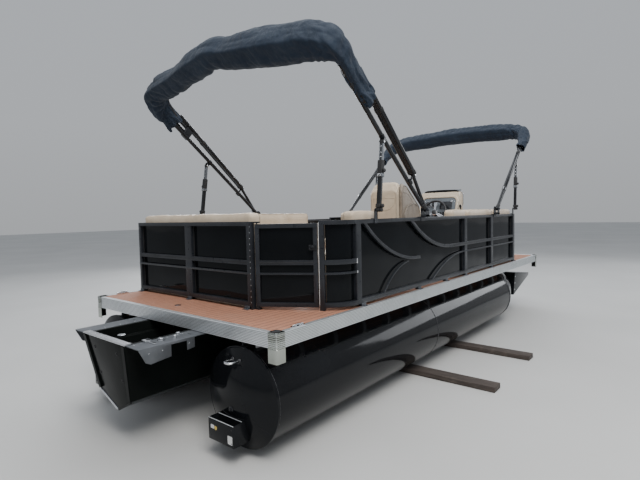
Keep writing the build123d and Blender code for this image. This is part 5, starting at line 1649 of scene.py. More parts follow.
def foot_detail(x, y, out):
    """angle foot with two bolts through the deck; out is the way it faces"""
    o = Vector(out)
    t = Vector((-o.y, o.x, 0))
    c = Vector((x, y, 0))
    p0 = c + t * -0.030 + o * -0.001
    p1 = c + t * 0.030 + o * 0.030
    lo = (min(p0.x, p1.x), min(p0.y, p1.y), 0.8868)
    hi = (max(p0.x, p1.x), max(p0.y, p1.y), 0.8908)
    fs_.box(lo, hi, 0.0012)
    q0, q1 = c + t * -0.030 + o * -0.001, c + t * 0.030 + o * 0.0035
    fs_.box((min(q0.x, q1.x), min(q0.y, q1.y), 0.888), (max(q0.x, q1.x), max(q0.y, q1.y), 0.914), 0.0012)
    for k in (-0.017, 0.017):
        b = c + t * k + o * 0.017
        fb.bolt((b.x, b.y, 0.8908), (0, 0, 1), 0.0062, 0.006)
        b2 = c + t * k + o * 0.0035
        fb.dome((b2.x, b2.y, 0.902), o, 0.0045, 0.003)


for yf in (-1.835, -0.860, -0.230, 0.315, 1.210, 2.152):
    foot_detail(1.174, yf + 0.025, (1, 0, 0))
for yf in (-2.396, -1.835, -0.860, 0.050, 0.740, 1.210, 2.160):
    foot_detail(-1.174, yf + 0.025, (-1, 0, 0))
for xf in (-1.174, -0.345, 0.440):
    foot_detail(xf + 0.026, -2.430, (0, -1, 0))
for sx in (-1, 1):
    foot_detail(sx * 0.360, 2.212, (0, 1, 0))
    foot_detail(sx * 0.98, 2.212, (0, 1, 0))
fs_.done("fence_feet", "rail_grey", FENCE_BODY)
fb.done("fence_foot_bolts", "rail_grey", FENCE_BODY)

# fine steps on the rails: a shadow groove along the upper band, light caps at the band ends
fg = Build()
fg.box((1.1728, -0.097, 1.262), (1.1752, 2.212, 1.2665), 0.0004)
fg.box((-1.174, -2.4312, 1.262), (0.474, -2.4288, 1.2665), 0.0004)
fg.box((-1.1752, 0.740, 1.262), (-1.1728, 2.212, 1.2665), 0.0004)
fg.done("band_grooves", "rubber", FENCE_BODY)

# dark strips beside each post on the inner side: painted shade on the posts' inner faces
fr = Build()
for ya, yb in ((-1.833, 0.305), (0.378, 1.200), (1.272, 2.140)):
    for y in (ya + 0.004, yb - 0.004):
        fr.box((1.1385, y - 0.004, 0.950), (1.1440, y + 0.004, 1.554), 0.001)
for xa, xb in ((-1.140, -0.365), (-0.270, 0.474)):
    for x in (xa + 0.004, xb - 0.004):
        fr.box((x - 0.004, -2.4025, 0.950), (x + 0.004, -2.3965, 1.554), 0.001)
fr.done("post_shade_strips", "rubber", FENCE_BODY)

# welded corners: a thin fillet bead at each post to the top and base rails
fw = Build()
for y in (-1.867, 0.342, 1.236, 2.176):
    for z in (1.5555, 0.9485):
        fw.tube([(1.1735, y - 0.034, z), (1.1735, y + 0.034, z)], 0.0022, 6)
for x in (-1.157, -0.318, 0.494):
    for z in (1.5555, 0.9485):
        fw.tube([(x - 0.020, -2.4295, z), (x + 0.020, -2.4295, z)], 0.0022, 6)
fw.done("fence_welds", "rail_black", FENCE_BODY)

# rubber latch strip and the hinge side's riveted strip at the boarding gate
G0v = Vector((0.556, -2.412, 0))
GX = Vector((cos(radians(30)), sin(radians(30)), 0))
GY = Vector((-sin(radians(30)), cos(radians(30)), 0))


def GP(x, y, z):
    return G0v + GX * x + GY * y + Vector((0, 0, z))


GM = plane4(G0v, GX, (0, 0, 1))
hs = Build()
hs.box((0.515, -2.4362, 0.905), (0.5295, -2.4335, 1.578), 0.0008)
hs.done("hinge_strip", "tube_satin", FENCE_BODY)
hd = Build()
for k in range(14):
    hd.dome((0.5222, -2.4362, 0.945 + k * 0.0465), (0, -1, 0), 0.0038, 0.0022)
hd.done("hinge_rivets", "stainless", FENCE_BODY)
ls = Build()
ca, sa = cos(radians(-65.0)), sin(radians(-65.0))
radial, tang = Vector((ca, sa, 0)), Vector((-sa, ca, 0))
lc = Vector((0.902 + 0.255 * ca, -1.900 + 0.255 * sa, 0))
ml = plane4(lc, tang, (0, 0, 1))
ls.box((-0.0235, -0.0225, 0.93), (-0.0195, -0.0145, 1.575), 0.0012, 2, ml)
ls.done("latch_strip", "sticker_blank", BODY["fence_corner"])
lt = Build()
mg = GM
lt.box((0.432, -0.0070, 1.360), (0.492, 0.0005, 1.402), 0.003, 3, mg)
lt.lathe(GP(0.462, -0.006, 1.381), -GY, [(0.013, 0), (0.013, 0.006), (0.010, 0.009), (0, 0.009)], 24)
lt.box((0.455, -0.0205, 1.376), (0.486, -0.014, 1.386), 0.002, 3, mg)
for dz in (-0.014, 0.014):
    lt.dome(GP(0.439, -0.007, 1.381 + dz), -GY, 0.003, 0.0018)
lt.done("gate_latch_aft", "tube_satin", BODY["gate_aft_frame"])
gw = Build()
for z in (1.5365, 0.9475):
    for x in (0.017, 0.483):
        gw.tube([GP(x - 0.017, -0.0005, z), GP(x + 0.017, -0.0005, z)], 0.0022, 6)
gw.done("gate_aft_welds", "rail_black", BODY["gate_aft_frame"])
# dark strip along the gate's upper band: painted shade in its groove, as on the fence rails
gg = Build()
gg.box((0.034, -0.0012, 1.262), (0.466, 0.0012, 1.2665), 0.0004, 1, mg)
gg.done("gate_aft_groove", "rubber", BODY["gate_aft_frame"])
for nm, body, org, xdir, ydir in (("bow", "gate_bow_frame", Vector((0.20, 2.212, 0)), Vector((1, 0, 0)), Vector((0, 1, 0))),
                                  ("port", "gate_port_frame", Vector((-1.174, 0.64, 0)), Vector((0, 1, 0)), Vector((-1, 0, 0)))):
    gl = Build()
    m_ = plane4(org, xdir, (0, 0, 1))
    sg = 1 if (m_.to_3x3() @ Vector((0, 1, 0))).dot(ydir) > 0 else -1
    y0, y1 = sorted((sg * -0.0005, sg * 0.007))
    gl.box((0.0, y0, 1.360), (0.060, y1, 1.402), 0.003, 3, m_)
    c = org + xdir * 0.03 + ydir * 0.006 + Vector((0, 0, 1.381))
    gl.lathe(c, ydir, [(0.013, 0), (0.013, 0.006), (0.010, 0.009), (0, 0.009)], 24)
    y0, y1 = sorted((sg * 0.014, sg * 0.0205))
    gl.box((0.022, y0, 1.376), (0.054, y1, 1.386), 0.002, 3, m_)
    gl.done("gate_latch_" + nm, "tube_satin", BODY[body])
# band end caps at the rounded corner and small hooks at the bow edge
ec = Build()
for z0, z1, x1 in ((1.245, 1.283, 1.1752), (1.168, 1.185, 1.1772)):
    ec.box((1.150, -1.899, z0 - 0.001), (x1, -1.886, z1 + 0.001), 0.002)
ec.done("band_end_caps", "silver_paint", FENCE_BODY)
hk = Build()
for z in (1.540, 1.374, 1.283, 1.193):
    hk.lathe((1.160, 2.2115, z), (0, 1, 0), [(0.007, 0), (0.007, 0.004), (0.004, 0.006), (0.0035, 0.020), (0.006, 0.022), (0.006, 0.026), (0, 0.027)], 16)
    hk.lathe((-1.160, 2.2115, z), (0, 1, 0), [(0.007, 0), (0.007, 0.004), (0.004, 0.006), (0.0035, 0.020), (0.006, 0.022), (0.006, 0.026), (0, 0.027)], 16)
hk.done("bow_studs", "stainless", FENCE_BODY)

# glossy sheets: the CAD plates with softened rims
for node in ("panels_aft", "panels_starboard", "panels_port", "panels_bow", "panels_corner", "gate_aft_panel", "gate_bow_panel",
             "gate_port_panel"):
    rounded(node, 0.0008, 1)

# --- PART3 ---
# ---------------------------------------------------------------------------
# Stitching laid on finished pads
# ---------------------------------------------------------------------------
def on_surface(obj, pts, direction, lift=0.0):
    tree = BVHTree.FromPolygons([v.co for v in obj.data.vertices], [tuple(p.vertices) for p in obj.data.polygons])
    d = Vector(direction).normalized()
    out = []
    for p in pts:
        hit = tree.ray_cast(Vector(p) - d * 0.4, d)
        if hit[0] is not None:
            out.append(hit[0] + hit[1] * (lift if hit[1].dot(d) < 0 else -lift))
    return out


PIECE = {s["name"]: s["o"] for s in SIM}
st_ = Build()
back = PIECE["chair_back_pad"]
ux = [(0.782, 1.940), (0.784, 1.86), (0.780, 1.775), (0.758, 1.715), (0.716, 1.680), (0.650, 1.664), (0.580, 1.672),
      (0.530, 1.702), (0.505, 1.770), (0.500, 1.86), (0.508, 1.940)]
line = fillet([(x, -0.7, z) for x, z in ux], 0.03, 4)
P_ = on_surface(back, resample(line, 90), (0, 1, 0), 0.0)
if len(P_) > 10:
    st_.tube(P_, 0.0026, 6)
P_ = on_surface(back, resample([(0.504, -0.7, 1.795), (0.780, -0.7, 1.795)], 24), (0, 1, 0), 0.0)
if len(P_) > 5:
    st_.tube(P_, 0.0024, 6)
P_ = on_surface(back, resample([(0.540, 0.0, 1.640), (0.772, 0.0, 1.640)], 24), (0, -1, 0), 0.0)
if len(P_) > 5:
    st_.tube(P_, 0.0024, 6)
st_.done("chair_back_stitching", "piping_beige", BODY["chair_back"])
st_ = Build()
wing = PIECE["chair_wing_starboard"]
P_ = on_surface(wing, resample(fillet([(1.2, -0.575, 1.86), (1.2, -0.43, 1.835), (1.2, -0.27, 1.70), (1.2, -0.215, 1.64)], 0.05, 5), 40),
                (-1, 0, 0), 0.0)
if len(P_) > 5:
    st_.tube(P_, 0.0022, 6)
st_.done("chair_wing_stitching", "piping", BODY["chair_wings"])

# ---------------------------------------------------------------------------
# Chair stand
# ---------------------------------------------------------------------------
cp = Build()
cp.lathe((CHX, CHY, 0.8872), (0, 0, 1), [(0.150, 0), (0.150, 0.006), (0.146, 0.011), (0.090, 0.015), (0.052, 0.022), (0.043, 0.040),
                                        (0.040, 0.060), (0.038, 0.070), (0.038, 0.200), (0.041, 0.203), (0.041, 0.235), (0.038, 0.238),
                                        (0.036, 0.240), (0.036, 0.286), (0.0, 0.286)], 48)
for k in range(8):
    a = 2 * pi * (k + 0.5) / 8
    cp.bolt((CHX + 0.125 * cos(a), CHY + 0.125 * sin(a), 0.8995), (0, 0, 1), 0.006, 0.005)
cp.done("chair_stand", "stainless", BODY["chair_pedestal"], SLOT["chair_pedestal"], 30, ("chair_pedestal",))
rounded("chair_frame", 0.008, 3, mat="rubber", name="chair_base_plate")
cf = Build()
cf.tube(fillet([(CHX + 0.10, CHY - 0.05, 1.186), (CHX + 0.195, CHY - 0.05, 1.184), (CHX + 0.225, CHY - 0.03, 1.192)], 0.02, 5), 0.006, 10)
cf.lathe((CHX + 0.215, CHY - 0.037, 1.189), (0.9, 0.4, 0.2), [(0.009, 0), (0.011, 0.012), (0.009, 0.026), (0, 0.030)], 16)
cf.box((CHX - 0.14, CHY - 0.13, 1.172), (CHX - 0.11, CHY + 0.14, 1.1765), 0.001)
cf.box((CHX + 0.11, CHY - 0.13, 1.172), (CHX + 0.14, CHY + 0.14, 1.1765), 0.001)
cf.done("chair_slide", "tube_satin", BODY["chair_frame"])

# ---------------------------------------------------------------------------
# Console: moulded shell, framed dash with blank gauges, hood, screen
# ---------------------------------------------------------------------------
rounded("helm_console", 0.016, 4, name="console_shell")
CB = BODY["helm_console"]
DN = Vector((0, -0.947, 0.3214)).normalized()
DM = plane4((0.712, 0.600, 1.674), (1, 0, 0), DN)


def ring_plate(bld, outer, inner, m4, h0, h1, round_=0.003):
    """flat frame between two loops with the same number of points, with its edges eased"""
    def loop(poly, z, inset, sgn):
        n = len(poly)
        cx, cy = sum(p[0] for p in poly) / n, sum(p[1] for p in poly) / n
        out = []
        for x, y in poly:
            d = hypot(x - cx, y - cy)
            k = (d + sgn * inset) / d
            out.append(bld.bm.verts.new(m4 @ Vector((cx + (x - cx) * k, cy + (y - cy) * k, z))))
        return out
    L = [loop(outer, h0, 0, -1), loop(outer, h1 - round_, 0, -1), loop(outer, h1 - round_ * 0.3, round_ * 0.3, -1),
         loop(outer, h1, round_, -1), loop(inner, h1, round_, 1), loop(inner, h1 - round_ * 0.3, round_ * 0.3, 1),
         loop(inner, h1 - round_, 0, 1), loop(inner, h0, 0, 1)]
    n = len(outer)
    for A, B in zip(L, L[1:] + [L[0]]):
        for k in range(n):
            bld.bm.faces.new((A[k], A[(k + 1) % n], B[(k + 1) % n], B[k]))


db = Build()
ring_plate(db, rrect(0.506, 0.344, 0.070, 9), rrect(0.450, 0.296, 0.056, 9), DM, -0.002, 0.014, 0.005)
db.done("dash_surround", "console_shell", CB)
dp = Build()
dp.prism(rrect(0.454, 0.300, 0.056, 9), DM, 0.0045, 0.001)
dp.done("dash_panel", "dash_grey", CB)
dg_ = Build()
chrome = Build()
glass = Build()
for x, y, r_ in ((-0.150, 0.062, 0.037), (-0.062, 0.062, 0.037), (-0.150, -0.030, 0.026)):
    p = DM @ Vector((x, y, 0.0045))
    chrome.lathe(p, DN, [(r_ + 0.005, -0.001), (r_ + 0.005, 0.004), (r_ + 0.003, 0.0065), (r_, 0.0065), (r_ - 0.001, 0.003),
                         (r_ - 0.002, 0.001), (0, 0.001)], 40)
    glass.lathe(p, DN, [(r_ - 0.001, 0.0008), (r_ - 0.001, 0.0035), (r_ * 0.5, 0.0048), (0, 0.0052)], 40)
mm4 = DM @ Matrix.Translation((0.098, 0.046, 0.0043))
glass.prism(rrect(0.158, 0.098, 0.008, 5), mm4, 0.0065, 0.0018)
for k in range(6):
    q = DM @ Matrix.Translation((-0.030 + k * 0.034, -0.060, 0.0042))
    dg_.prism(rrect(0.024, 0.038, 0.003, 3), q, 0.003, 0.0008)
    q2 = q @ Matrix.Rotation(radians(7 if k % 2 else -7), 4, "X") @ Matrix.Translation((0, 0, 0.002))
    dg_.prism(rrect(0.017, 0.030, 0.003, 3), q2, 0.0045, 0.0014)
p = DM @ Vector((0.176, -0.060, 0.0045))
chrome.lathe(p, DN, [(0.014, 0), (0.014, 0.004), (0.011, 0.006), (0.007, 0.006), (0.007, 0.011), (0, 0.011)], 24)
p = DM @ Vector((0.166, 0.098, 0.0045))
chrome.lathe(p, DN, [(0.016, 0), (0.016, 0.005), (0.012, 0.009), (0, 0.010)], 24)
p = DM @ Vector((-0.150, -0.088, 0.0045))
chrome.lathe(p, DN, [(0.012, 0), (0.012, 0.005), (0.009, 0.008), (0, 0.009)], 24)
for x in (-0.198, 0.198):
    for y in (-0.110, 0.110):
        chrome.dome(DM @ Vector((x * 0.985, y * 0.93, 0.0045)), DN, 0.0035, 0.0018)
dg_.done("dash_switches", "rubber", CB)
chrome.done("dash_bezels", "stainless", CB)
glass.done("dash_gauges", "dial", CB)
hd_ = Build()
arc = fillet([(0.4585, 1.720), (0.4585, 1.9085), (0.705, 1.9165), (0.9535, 1.9085), (0.9535, 1.760)], (0.075, 3.0, 0.090), 12)
arc = [Vector((p[0], 0, p[1])) for p in [(q.x, q.y) for q in [Vector((a.x, a.y, 0)) for a in [Vector((v[0], v[1], 0)) for v in arc]]]]
arc = resample(arc, 72)
secs = []
for i, p in enumerate(arc):
    a, b = arc[max(i - 1, 0)], arc[min(i + 1, len(arc) - 1)]
    t = (b - a).normalized()
    nn = Vector((-t.z, 0, t.x))
    if nn.z < 0 and abs(nn.z) > 0.3:
        nn = -nn
    if abs(nn.z) <= 0.3:
        nn = Vector((1 if p.x > 0.705 else -1, 0, 0))
    yb = 0.664 + max(0.0, (p.z - 1.86)) * 0.50
    top_ = max(0.0, min(1.0, (p.z - 1.84) / 0.05))
    dn_ = -0.005 - 0.030 * top_
    prof = [(-0.006, dn_), (-0.006, 0.0015), (0.000, 0.0060), (0.030, 0.0060), (0.062, 0.0035), (0.070, 0.000), (0.066, -0.008),
            (0.004, -0.010 - 0.020 * top_)]
    base_y = 0.548 + (p.z - 1.520) * 0.3394 + 0.020 if p.z < 1.85 else 0.680 + (p.z - 1.85) * 0.3
    secs.append([hd_.bm.verts.new((p.x + nn.x * h, base_y + w, p.z + nn.z * h)) for w, h in prof])
for A, B in zip(secs, secs[1:]):
    for k in range(8):
        hd_.bm.faces.new((A[k], A[(k + 1) % 8], B[(k + 1) % 8], B[k]))
hd_.bm.faces.new(secs[0])
hd_.bm.faces.new(secs[-1])
hd_.done("console_hood", "cowl_gloss", CB)
rounded("windscreen", 0.0012, 2, name="windscreen_sheet")
ws_ = Build()
ws_.box((0.468, 0.7742, 1.664), (0.942, 0.7845, 1.680), 0.002)
for x in (0.50, 0.605, 0.705, 0.805, 0.91):
    ws_.dome((x, 0.7845, 1.672), (0, 1, 0), 0.0045, 0.0025)
# bright grab rail down the starboard shoulder
ws_.tube(fillet([(0.9615, 0.742, 1.885), (0.9755, 0.750, 1.868), (0.9755, 0.757, 1.730), (0.9595, 0.760, 1.715)], 0.018, 6), 0.0065, 12)
for q in ((0.9605, 0.742, 1.886), (0.9605, 0.760, 1.714)):
    ws_.lathe(q, (1, 0, 0), [(0.0125, -0.002), (0.0125, 0.002), (0.008, 0.005), (0, 0.005)], 18)
ws_.done("windscreen_clamp", "stainless", CB)
cd_ = Build()
# door in the aft face, handle, step vents
cd_.prism(rrect(0.400, 0.380, 0.030, 6), plane4((0.705, 0.6305, 1.135), (1, 0, 0), (0, -1, 0)), 0.007, 0.0025)
cd_.done("console_door", "console_shell", CB)
ch_ = Build()
ch_.prism(rrect(0.090, 0.034, 0.014, 5), plane4((0.850, 0.6235, 1.150), (0, 0, 1), (0, -1, 0)), 0.005, 0.0018)
for z in (1.00, 1.27):
    ch_.box((0.500, 0.617, z - 0.025), (0.516, 0.6245, z + 0.025), 0.002)
ch_.done("console_door_fittings", "stainless", CB)
tc = Build()
tc.prism(rrect(0.085, 0.130, 0.022, 6), plane4((0.9598, 0.640, 1.560), (0, 1, 0), (1, 0, 0)), 0.028, 0.006, 3)
tc.lathe((0.986, 0.640, 1.575), (1, 0, 0), [(0.030, 0), (0.030, 0.006), (0.022, 0.010), (0, 0.010)], 28)
tc.tube(fillet([(0.992, 0.640, 1.575), (0.998, 0.632, 1.640), (0.994, 0.622, 1.690)], 0.02, 5), 0.0075, 10)
tc.lathe((0.994, 0.621, 1.684), (-0.05, -0.15, 1), [(0.010, 0), (0.014, 0.010), (0.015, 0.026), (0.010, 0.040), (0, 0.043)], 20)
tc.done("throttle_box", "tube_satin", CB)

# steering wheel
WC = Vector((0.700, 0.497, 1.638))
WZ = Vector((0, -cos(radians(25)), sin(radians(25))))
WM = plane4(WC, (1, 0, 0), WZ)
WB = BODY["steering_wheel"]
wr = Build()
pts, rad = [], []
for k in range(120):
    a = 2 * pi * k / 120
    pts.append(WM @ Vector((0.152 * cos(a), 0.152 * sin(a), 0)))
    rad.append(0.0128 + 0.0009 * max(0.0, sin(a * 20)) * (1 if abs(sin(a)) < 0.75 else 0))
wr.tube(pts, rad, 16, True)
wr.done("wheel_rim", "wheel_black", WB, SLOT["steering_wheel"], 50, ("steering_wheel",))
wsp_ = Build()
for a in (90, 210, 330):
    ca_, sa_ = cos(radians(a)), sin(radians(a))
    for sd in (-1, 1):
        P_ = []
        for t in (0, 0.25, 0.5, 0.75, 1.0):
            r_ = 0.030 + (0.148 - 0.030) * t
            off = sd * (0.008 + 0.010 * t)
            P_.append(WM @ Vector((r_ * ca_ - off * sa_, r_ * sa_ + off * ca_, -0.008 + 0.007 * t)))
        wsp_.tube(P_, 0.0045, 8, flat=(0.0045, 0.0035))
    q = WM @ Matrix.Rotation(radians(a), 4, "Z") @ Matrix.Translation((0.084, 0, -0.0075))
    wsp_.prism([(-0.052, -0.011), (0.060, -0.019), (0.060, 0.019), (-0.052, 0.011)], q, 0.0035, 0.001)
wsp_.lathe(WM @ Vector((0, 0, -0.030)), WZ, [(0.030, 0), (0.034, 0.004), (0.040, 0.016), (0.040, 0.026), (0.036, 0.033), (0, 0.033)], 40)
wsp_.done("wheel_spokes", "stainless", WB)
whb = Build()
whb.lathe(WM @ Vector((0, 0, 0.0025)), WZ, [(0.032, -0.002), (0.032, 0.003), (0.026, 0.0075), (0.012, 0.0095), (0, 0.0098)], 40)
whb.done("wheel_hub_cap", "wheel_black", WB)
wcl = Build()
wcl.lathe(WM @ Vector((0, 0, -0.200)), WZ, [(0.046, 0.002), (0.046, 0.044), (0.043, 0.050), (0.034, 0.056), (0.030, 0.066), (0.030, 0.156),
                                          (0.027, 0.159), (0, 0.159)], 40)
for z_ in (0.078, 0.092, 0.106, 0.120, 0.134):
    wcl.lathe(WM @ Vector((0, 0, -0.200 + z_)), WZ, [(0.029, 0), (0.0322, 0.002), (0.0322, 0.005), (0.029, 0.007)], 40)
wcl.done("wheel_column", "cowl_gloss", BODY["steering_column"], SLOT["steering_column"], 30, ("steering_column",))

# ---------------------------------------------------------------------------
# Folding tops: arms, sleeves, sliders, struts and their fittings
# ---------------------------------------------------------------------------
BIM = {  # columns: foot y, mouth, arm gap, strut foot y, strut top y
    "aft": (-0.760, 1.300, 0.125, -1.615, -1.535),
    "fore": (1.331, 1.400, 0.040, 2.120, 2.190),
}
AX, ATX = 1.206, 1.196
for nm, (fy, mo, gap, sy0, sy1) in BIM.items():
    o_, S_, N_ = ARM_LOCAL[nm]
    bows_body = BODY[f"bimini_{nm}_bows"]
    tubes, fit, bright, cap = Build(), Build(), Build(), Build()
    knee = gap * 0.72
    for sx in (-1, 1):
        end_s = mo + 0.40
        dl = 0.018 if nm == "aft" else 0.0
        dp_ = 0.0195 if nm == "aft" else 0.0
        tubes.tube([AP(nm, sx * (AX - dl * 0.4), -0.004, 0), AP(nm, sx * (AX - dl), 0.30, 0), AP(nm, sx * (AX - 0.005 - dl), 0.7, 0),
                    AP(nm, sx * (ATX - dl), mo + 0.07, 0), AP(nm, sx * (ATX - 0.002 - dl), end_s, 0.0)], 0.0205, 20)
        path = fillet([AP(nm, sx * AX, 0.060, 0.008), AP(nm, sx * (AX - 0.002), 0.400, knee), AP(nm, sx * ATX, mo + 0.07, gap),
                       AP(nm, sx * (ATX - 0.002), end_s, gap)], (0.10, 0.2), 8)
        tubes.tube(path, 0.0170, 18)
        g0, g1 = knee + (gap - knee) * 0.04, knee + (gap - knee) * 0.80
        for off in ((-dp_, dp_) if dp_ else (0.0,)):
            a, b = AP(nm, sx * (AX - 0.003 + off), 0.415, g0), AP(nm, sx * (ATX + 0.001 + off), mo - 0.130, g1)
            ax_ = (b - a).normalized()
            L_ = (b - a).length
            tubes.lathe(a, ax_, [(0.0165, 0), (0.0185, 0.001), (0.0198, 0.003), (0.0198, L_ - 0.003), (0.0185, L_ - 0.001), (0.0165, L_)], 24)
            tubes.lathe(b - ax_ * 0.01, ax_, [(0.0160, 0), (0.0175, 0.001), (0.0175, 0.40), (0.0160, 0.401)], 20)
            # plastic end collars on the sleeve
            for q, d_ in ((a, 1), (b, -1)):
                cap.lathe(q - ax_ * d_ * 0.006, ax_ * d_, [(0.0172, 0), (0.0215, 0.002), (0.0225, 0.008), (0.0225, 0.034), (0.0215, 0.038),
                                                           (0.0200, 0.040)], 24)
        # bright pin and clip at the lower end of the sleeve
        p = AP(nm, sx * (AX - 0.003), 0.392, g0)
        bright.lathe(p - Vector((sx * 0.002, 0, 0)), (sx, 0, 0), [(0.009, 0.016), (0.009, 0.026), (0.006, 0.029), (0, 0.029)], 16)
        bright.tube([p + S_ * -0.03 + N_ * 0.018, p + N_ * 0.0215, p + S_ * 0.02 + N_ * 0.0225], 0.0035, 8)
        # slider that carries the inner bows, with the ends of two of them
        for s_, ln in ((mo + 0.075, 0.088),):
            c = AP(nm, sx * ATX, s_, gap / 2)
            m_ = Matrix((Vector((1, 0, 0)), S_, N_)).transposed().to_4x4()
            m_.translation = c
            fit.box((-0.0215, -ln / 2, -gap / 2 - 0.014), (0.0215, ln / 2, gap / 2 + 0.014), 0.008, 3, m_)
            for ds_ in (-0.028, 0.028):
                for dn in (-gap / 2, gap / 2):
                    bright.bolt(c + S_ * ds_ + N_ * dn * 0.8 + Vector((sx * 0.0215, 0, 0)), (sx, 0, 0), 0.0050, 0.005)
            for f_ in (0.34, 0.67):
                tubes.tube([AP(nm, sx * (ATX - 0.004), s_ + ln / 2 - 0.01, gap * f_), AP(nm, sx * (ATX - 0.006), mo + 0.42, gap * f_)],
                           0.0115, 12)
        # knee link and foot eye
        a, b = AP(nm, sx * (AX - 0.002), 0.400, 0), AP(nm, sx * (AX - 0.002), 0.400, knee)
        fit.tube([a, b], 0.010, 14)
        for q in (a, b):
            d_ = (b - a).normalized()
            tubes.lathe(q - S_ * 0.022, S_, [(0.0196, 0), (0.0235, 0.002), (0.0235, 0.042), (0.0196, 0.044)], 22)
        foot = Vector((sx * AX, fy, 1.665))
        fit.lathe(foot - Vector((0.0135, 0, 0)), (1, 0, 0), [(0.0056, 0), (0.022, 0.0), (0.0235, 0.002), (0.0235, 0.025), (0.022, 0.027), (0.0056, 0.027)], 26)
        cap.lathe(AP(nm, sx * AX, 0.020, 0), S_, [(0.0196, 0), (0.0235, 0.001), (0.0250, 0.006), (0.0250, 0.058), (0.0235, 0.062), (0.0196, 0.063)], 22)
        # clamp on the lower tube with the two ears that take the strut's head
        s_f = Vector((sx * AX, sy0, 1.665))
        s_t = Vector((sx * (AX - (AX - ATX) * (abs(sy1 - fy) / cos(TH)) / (mo + 0.07)), sy1,
                      1.665 + abs(sy1 - fy) * tan(TH) - 0.041))
        hp = s_t - (s_t - s_f).normalized() * 0.030
        s_h, n_h = (hp - o_).dot(S_), (hp - o_).dot(N_)
        xa = sx * (AX - 0.005 - dl - (AX - 0.005 - ATX) * (s_h - 0.7) / (mo + 0.07 - 0.7))
        tubes.lathe(AP(nm, xa, s_h - 0.024, 0), S_, [(0.0200, 0), (0.0245, 0.002), (0.0245, 0.046), (0.0200, 0.048)], 22)
        m_ = Matrix((Vector((1, 0, 0)), S_, N_)).transposed().to_4x4()
        m_.translation = AP(nm, hp.x, s_h, 0)
        fit.box((-0.0205, -0.018, -0.031), (0.0205, 0.018, -0.019), 0.002, 2, m_)
        z_v = S_.cross(N_)
        for e_ in (-1, 1):
            m_ = Matrix((S_, N_, z_v)).transposed().to_4x4()
            m_.translation = AP(nm, hp.x + e_ * 0.0190, s_h, 0) - z_v * 0.0015
            fit.prism([(-0.016, -0.022)] + [(0.013 * cos(radians(a)), n_h + 0.013 * sin(radians(a))) for a in range(180, 361, 30)]
                      + [(0.016, -0.022)], m_, 0.003, 0.0006)
            bright.lathe(hp + Vector((e_ * 0.0205, 0, 0)), (e_, 0, 0), [(0.0080, -0.001), (0.0080, 0.003), (0.0055, 0.005), (0, 0.005)], 16)
    tubes.done(f"arms_{nm}", "tube_satin", bows_body, SLOT[f"bimini_{nm}_bows"], 34, (f"bimini_{nm}_bows",))
    fit.done(f"arm_sliders_{nm}", "tube_satin", bows_body)
    cap.done(f"arm_collars_{nm}", "rubber", bows_body)
    bright.done(f"arm_pins_{nm}", "stainless", bows_body)

    # struts
    for tag, sx in (("port", -1), ("starboard", 1)):
        ztop = 1.665 + abs(sy1 - fy) * tan(TH) - 0.041
        xt = AX - (AX - ATX) * (abs(sy1 - fy) / cos(TH)) / (mo + 0.07)
        f0 = Vector((sx * AX, sy0, 1.665))
        t0 = Vector((sx * xt, sy1, ztop))
        v = t0 - f0
        L_ = v.length
        u = v.normalized()
        outb = Vector((sx, 0, 0))
        sb = BODY[f"strut_{nm}_{tag}"]
        b1, b2, b3 = Build(), Build(), Build()
        m_ = plane4(f0, (1, 0, 0), u)
        b4 = Build()
        b1.prism(rrect(0.036, 0.036, 0.006, 4), m_ @ Matrix.Translation((0, 0, 0.014)), L_ * 0.50 - 0.014, 0.0015)
        b1.lathe(f0 + u * (L_ * 0.49), u, [(0.0125, 0), (0.0125, L_ * 0.51 - 0.026), (0.009, L_ * 0.51 - 0.024), (0, L_ * 0.51 - 0.024)], 20)
        # grey channel under the head, dark sleeve below it, grey clamp ring
        b4.box((-0.0170, -0.0115, L_ * 0.69), (0.0170, -0.0085, L_ * 0.93), 0.001, 1, m_)
        for s2 in (-1, 1):
            b4.box((min(s2 * 0.0145, s2 * 0.0175), -0.0115, L_ * 0.69), (max(s2 * 0.0145, s2 * 0.0175), 0.0125, L_ * 0.93), 0.001, 1, m_)
        b2.box((-0.0225, -0.0225, L_ * 0.50), (0.0225, 0.0225, L_ * 0.69), 0.007, 3, m_)
        b4.box((-0.0245, -0.0245, L_ * 0.455), (0.0245, 0.0245, L_ * 0.505), 0.006, 3, m_)
        for k_ in (0.47, 0.49):
            b3.dome(m_ @ Vector((0.010, -0.0245, L_ * k_)), m_.to_3x3() @ Vector((0, -1, 0)), 0.0045, 0.003)
            b3.dome(m_ @ Vector((-0.010, -0.0245, L_ * k_)), m_.to_3x3() @ Vector((0, -1, 0)), 0.0045, 0.003)
        for z_ in (0.74, 0.80, 0.88):
            b3.dome(m_ @ Vector((0, -0.0115, L_ * z_)), m_.to_3x3() @ Vector((0, -1, 0)), 0.0050, 0.003)
        for k_, rr_ in ((0.545, 0.0155), (0.055, 0.0165)):
            c_ = m_ @ Vector((sx * 0.0215, 0, L_ * k_))
            b2.lathe(c_, outb, [(0.009, -0.004), (0.009, 0.004), (rr_, 0.006), (rr_ + 0.001, 0.010), (rr_ + 0.001, 0.018), (rr_ - 0.003, 0.023),
                                (0, 0.024)], 12)
        b2.box((-0.0225, -0.0225, L_ * 0.030), (0.0225, 0.0225, L_ * 0.080), 0.006, 3, m_)
        b4.done(f"strut_channel_{nm}_{tag}", "grey_bracket", sb)
        # head: clevis under the arm
        head = m_ @ Matrix.Translation((0, 0, L_ - 0.050))
        b2.box((-0.015, -0.013, 0.0), (0.015, 0.013, 0.036), 0.004, 2, head)
        b3.lathe(head @ Vector((-0.0175, 0, 0.020)), head.to_3x3() @ Vector((1, 0, 0)), [(0.0045, 0), (0.0045, 0.035), (0, 0.035)], 14)
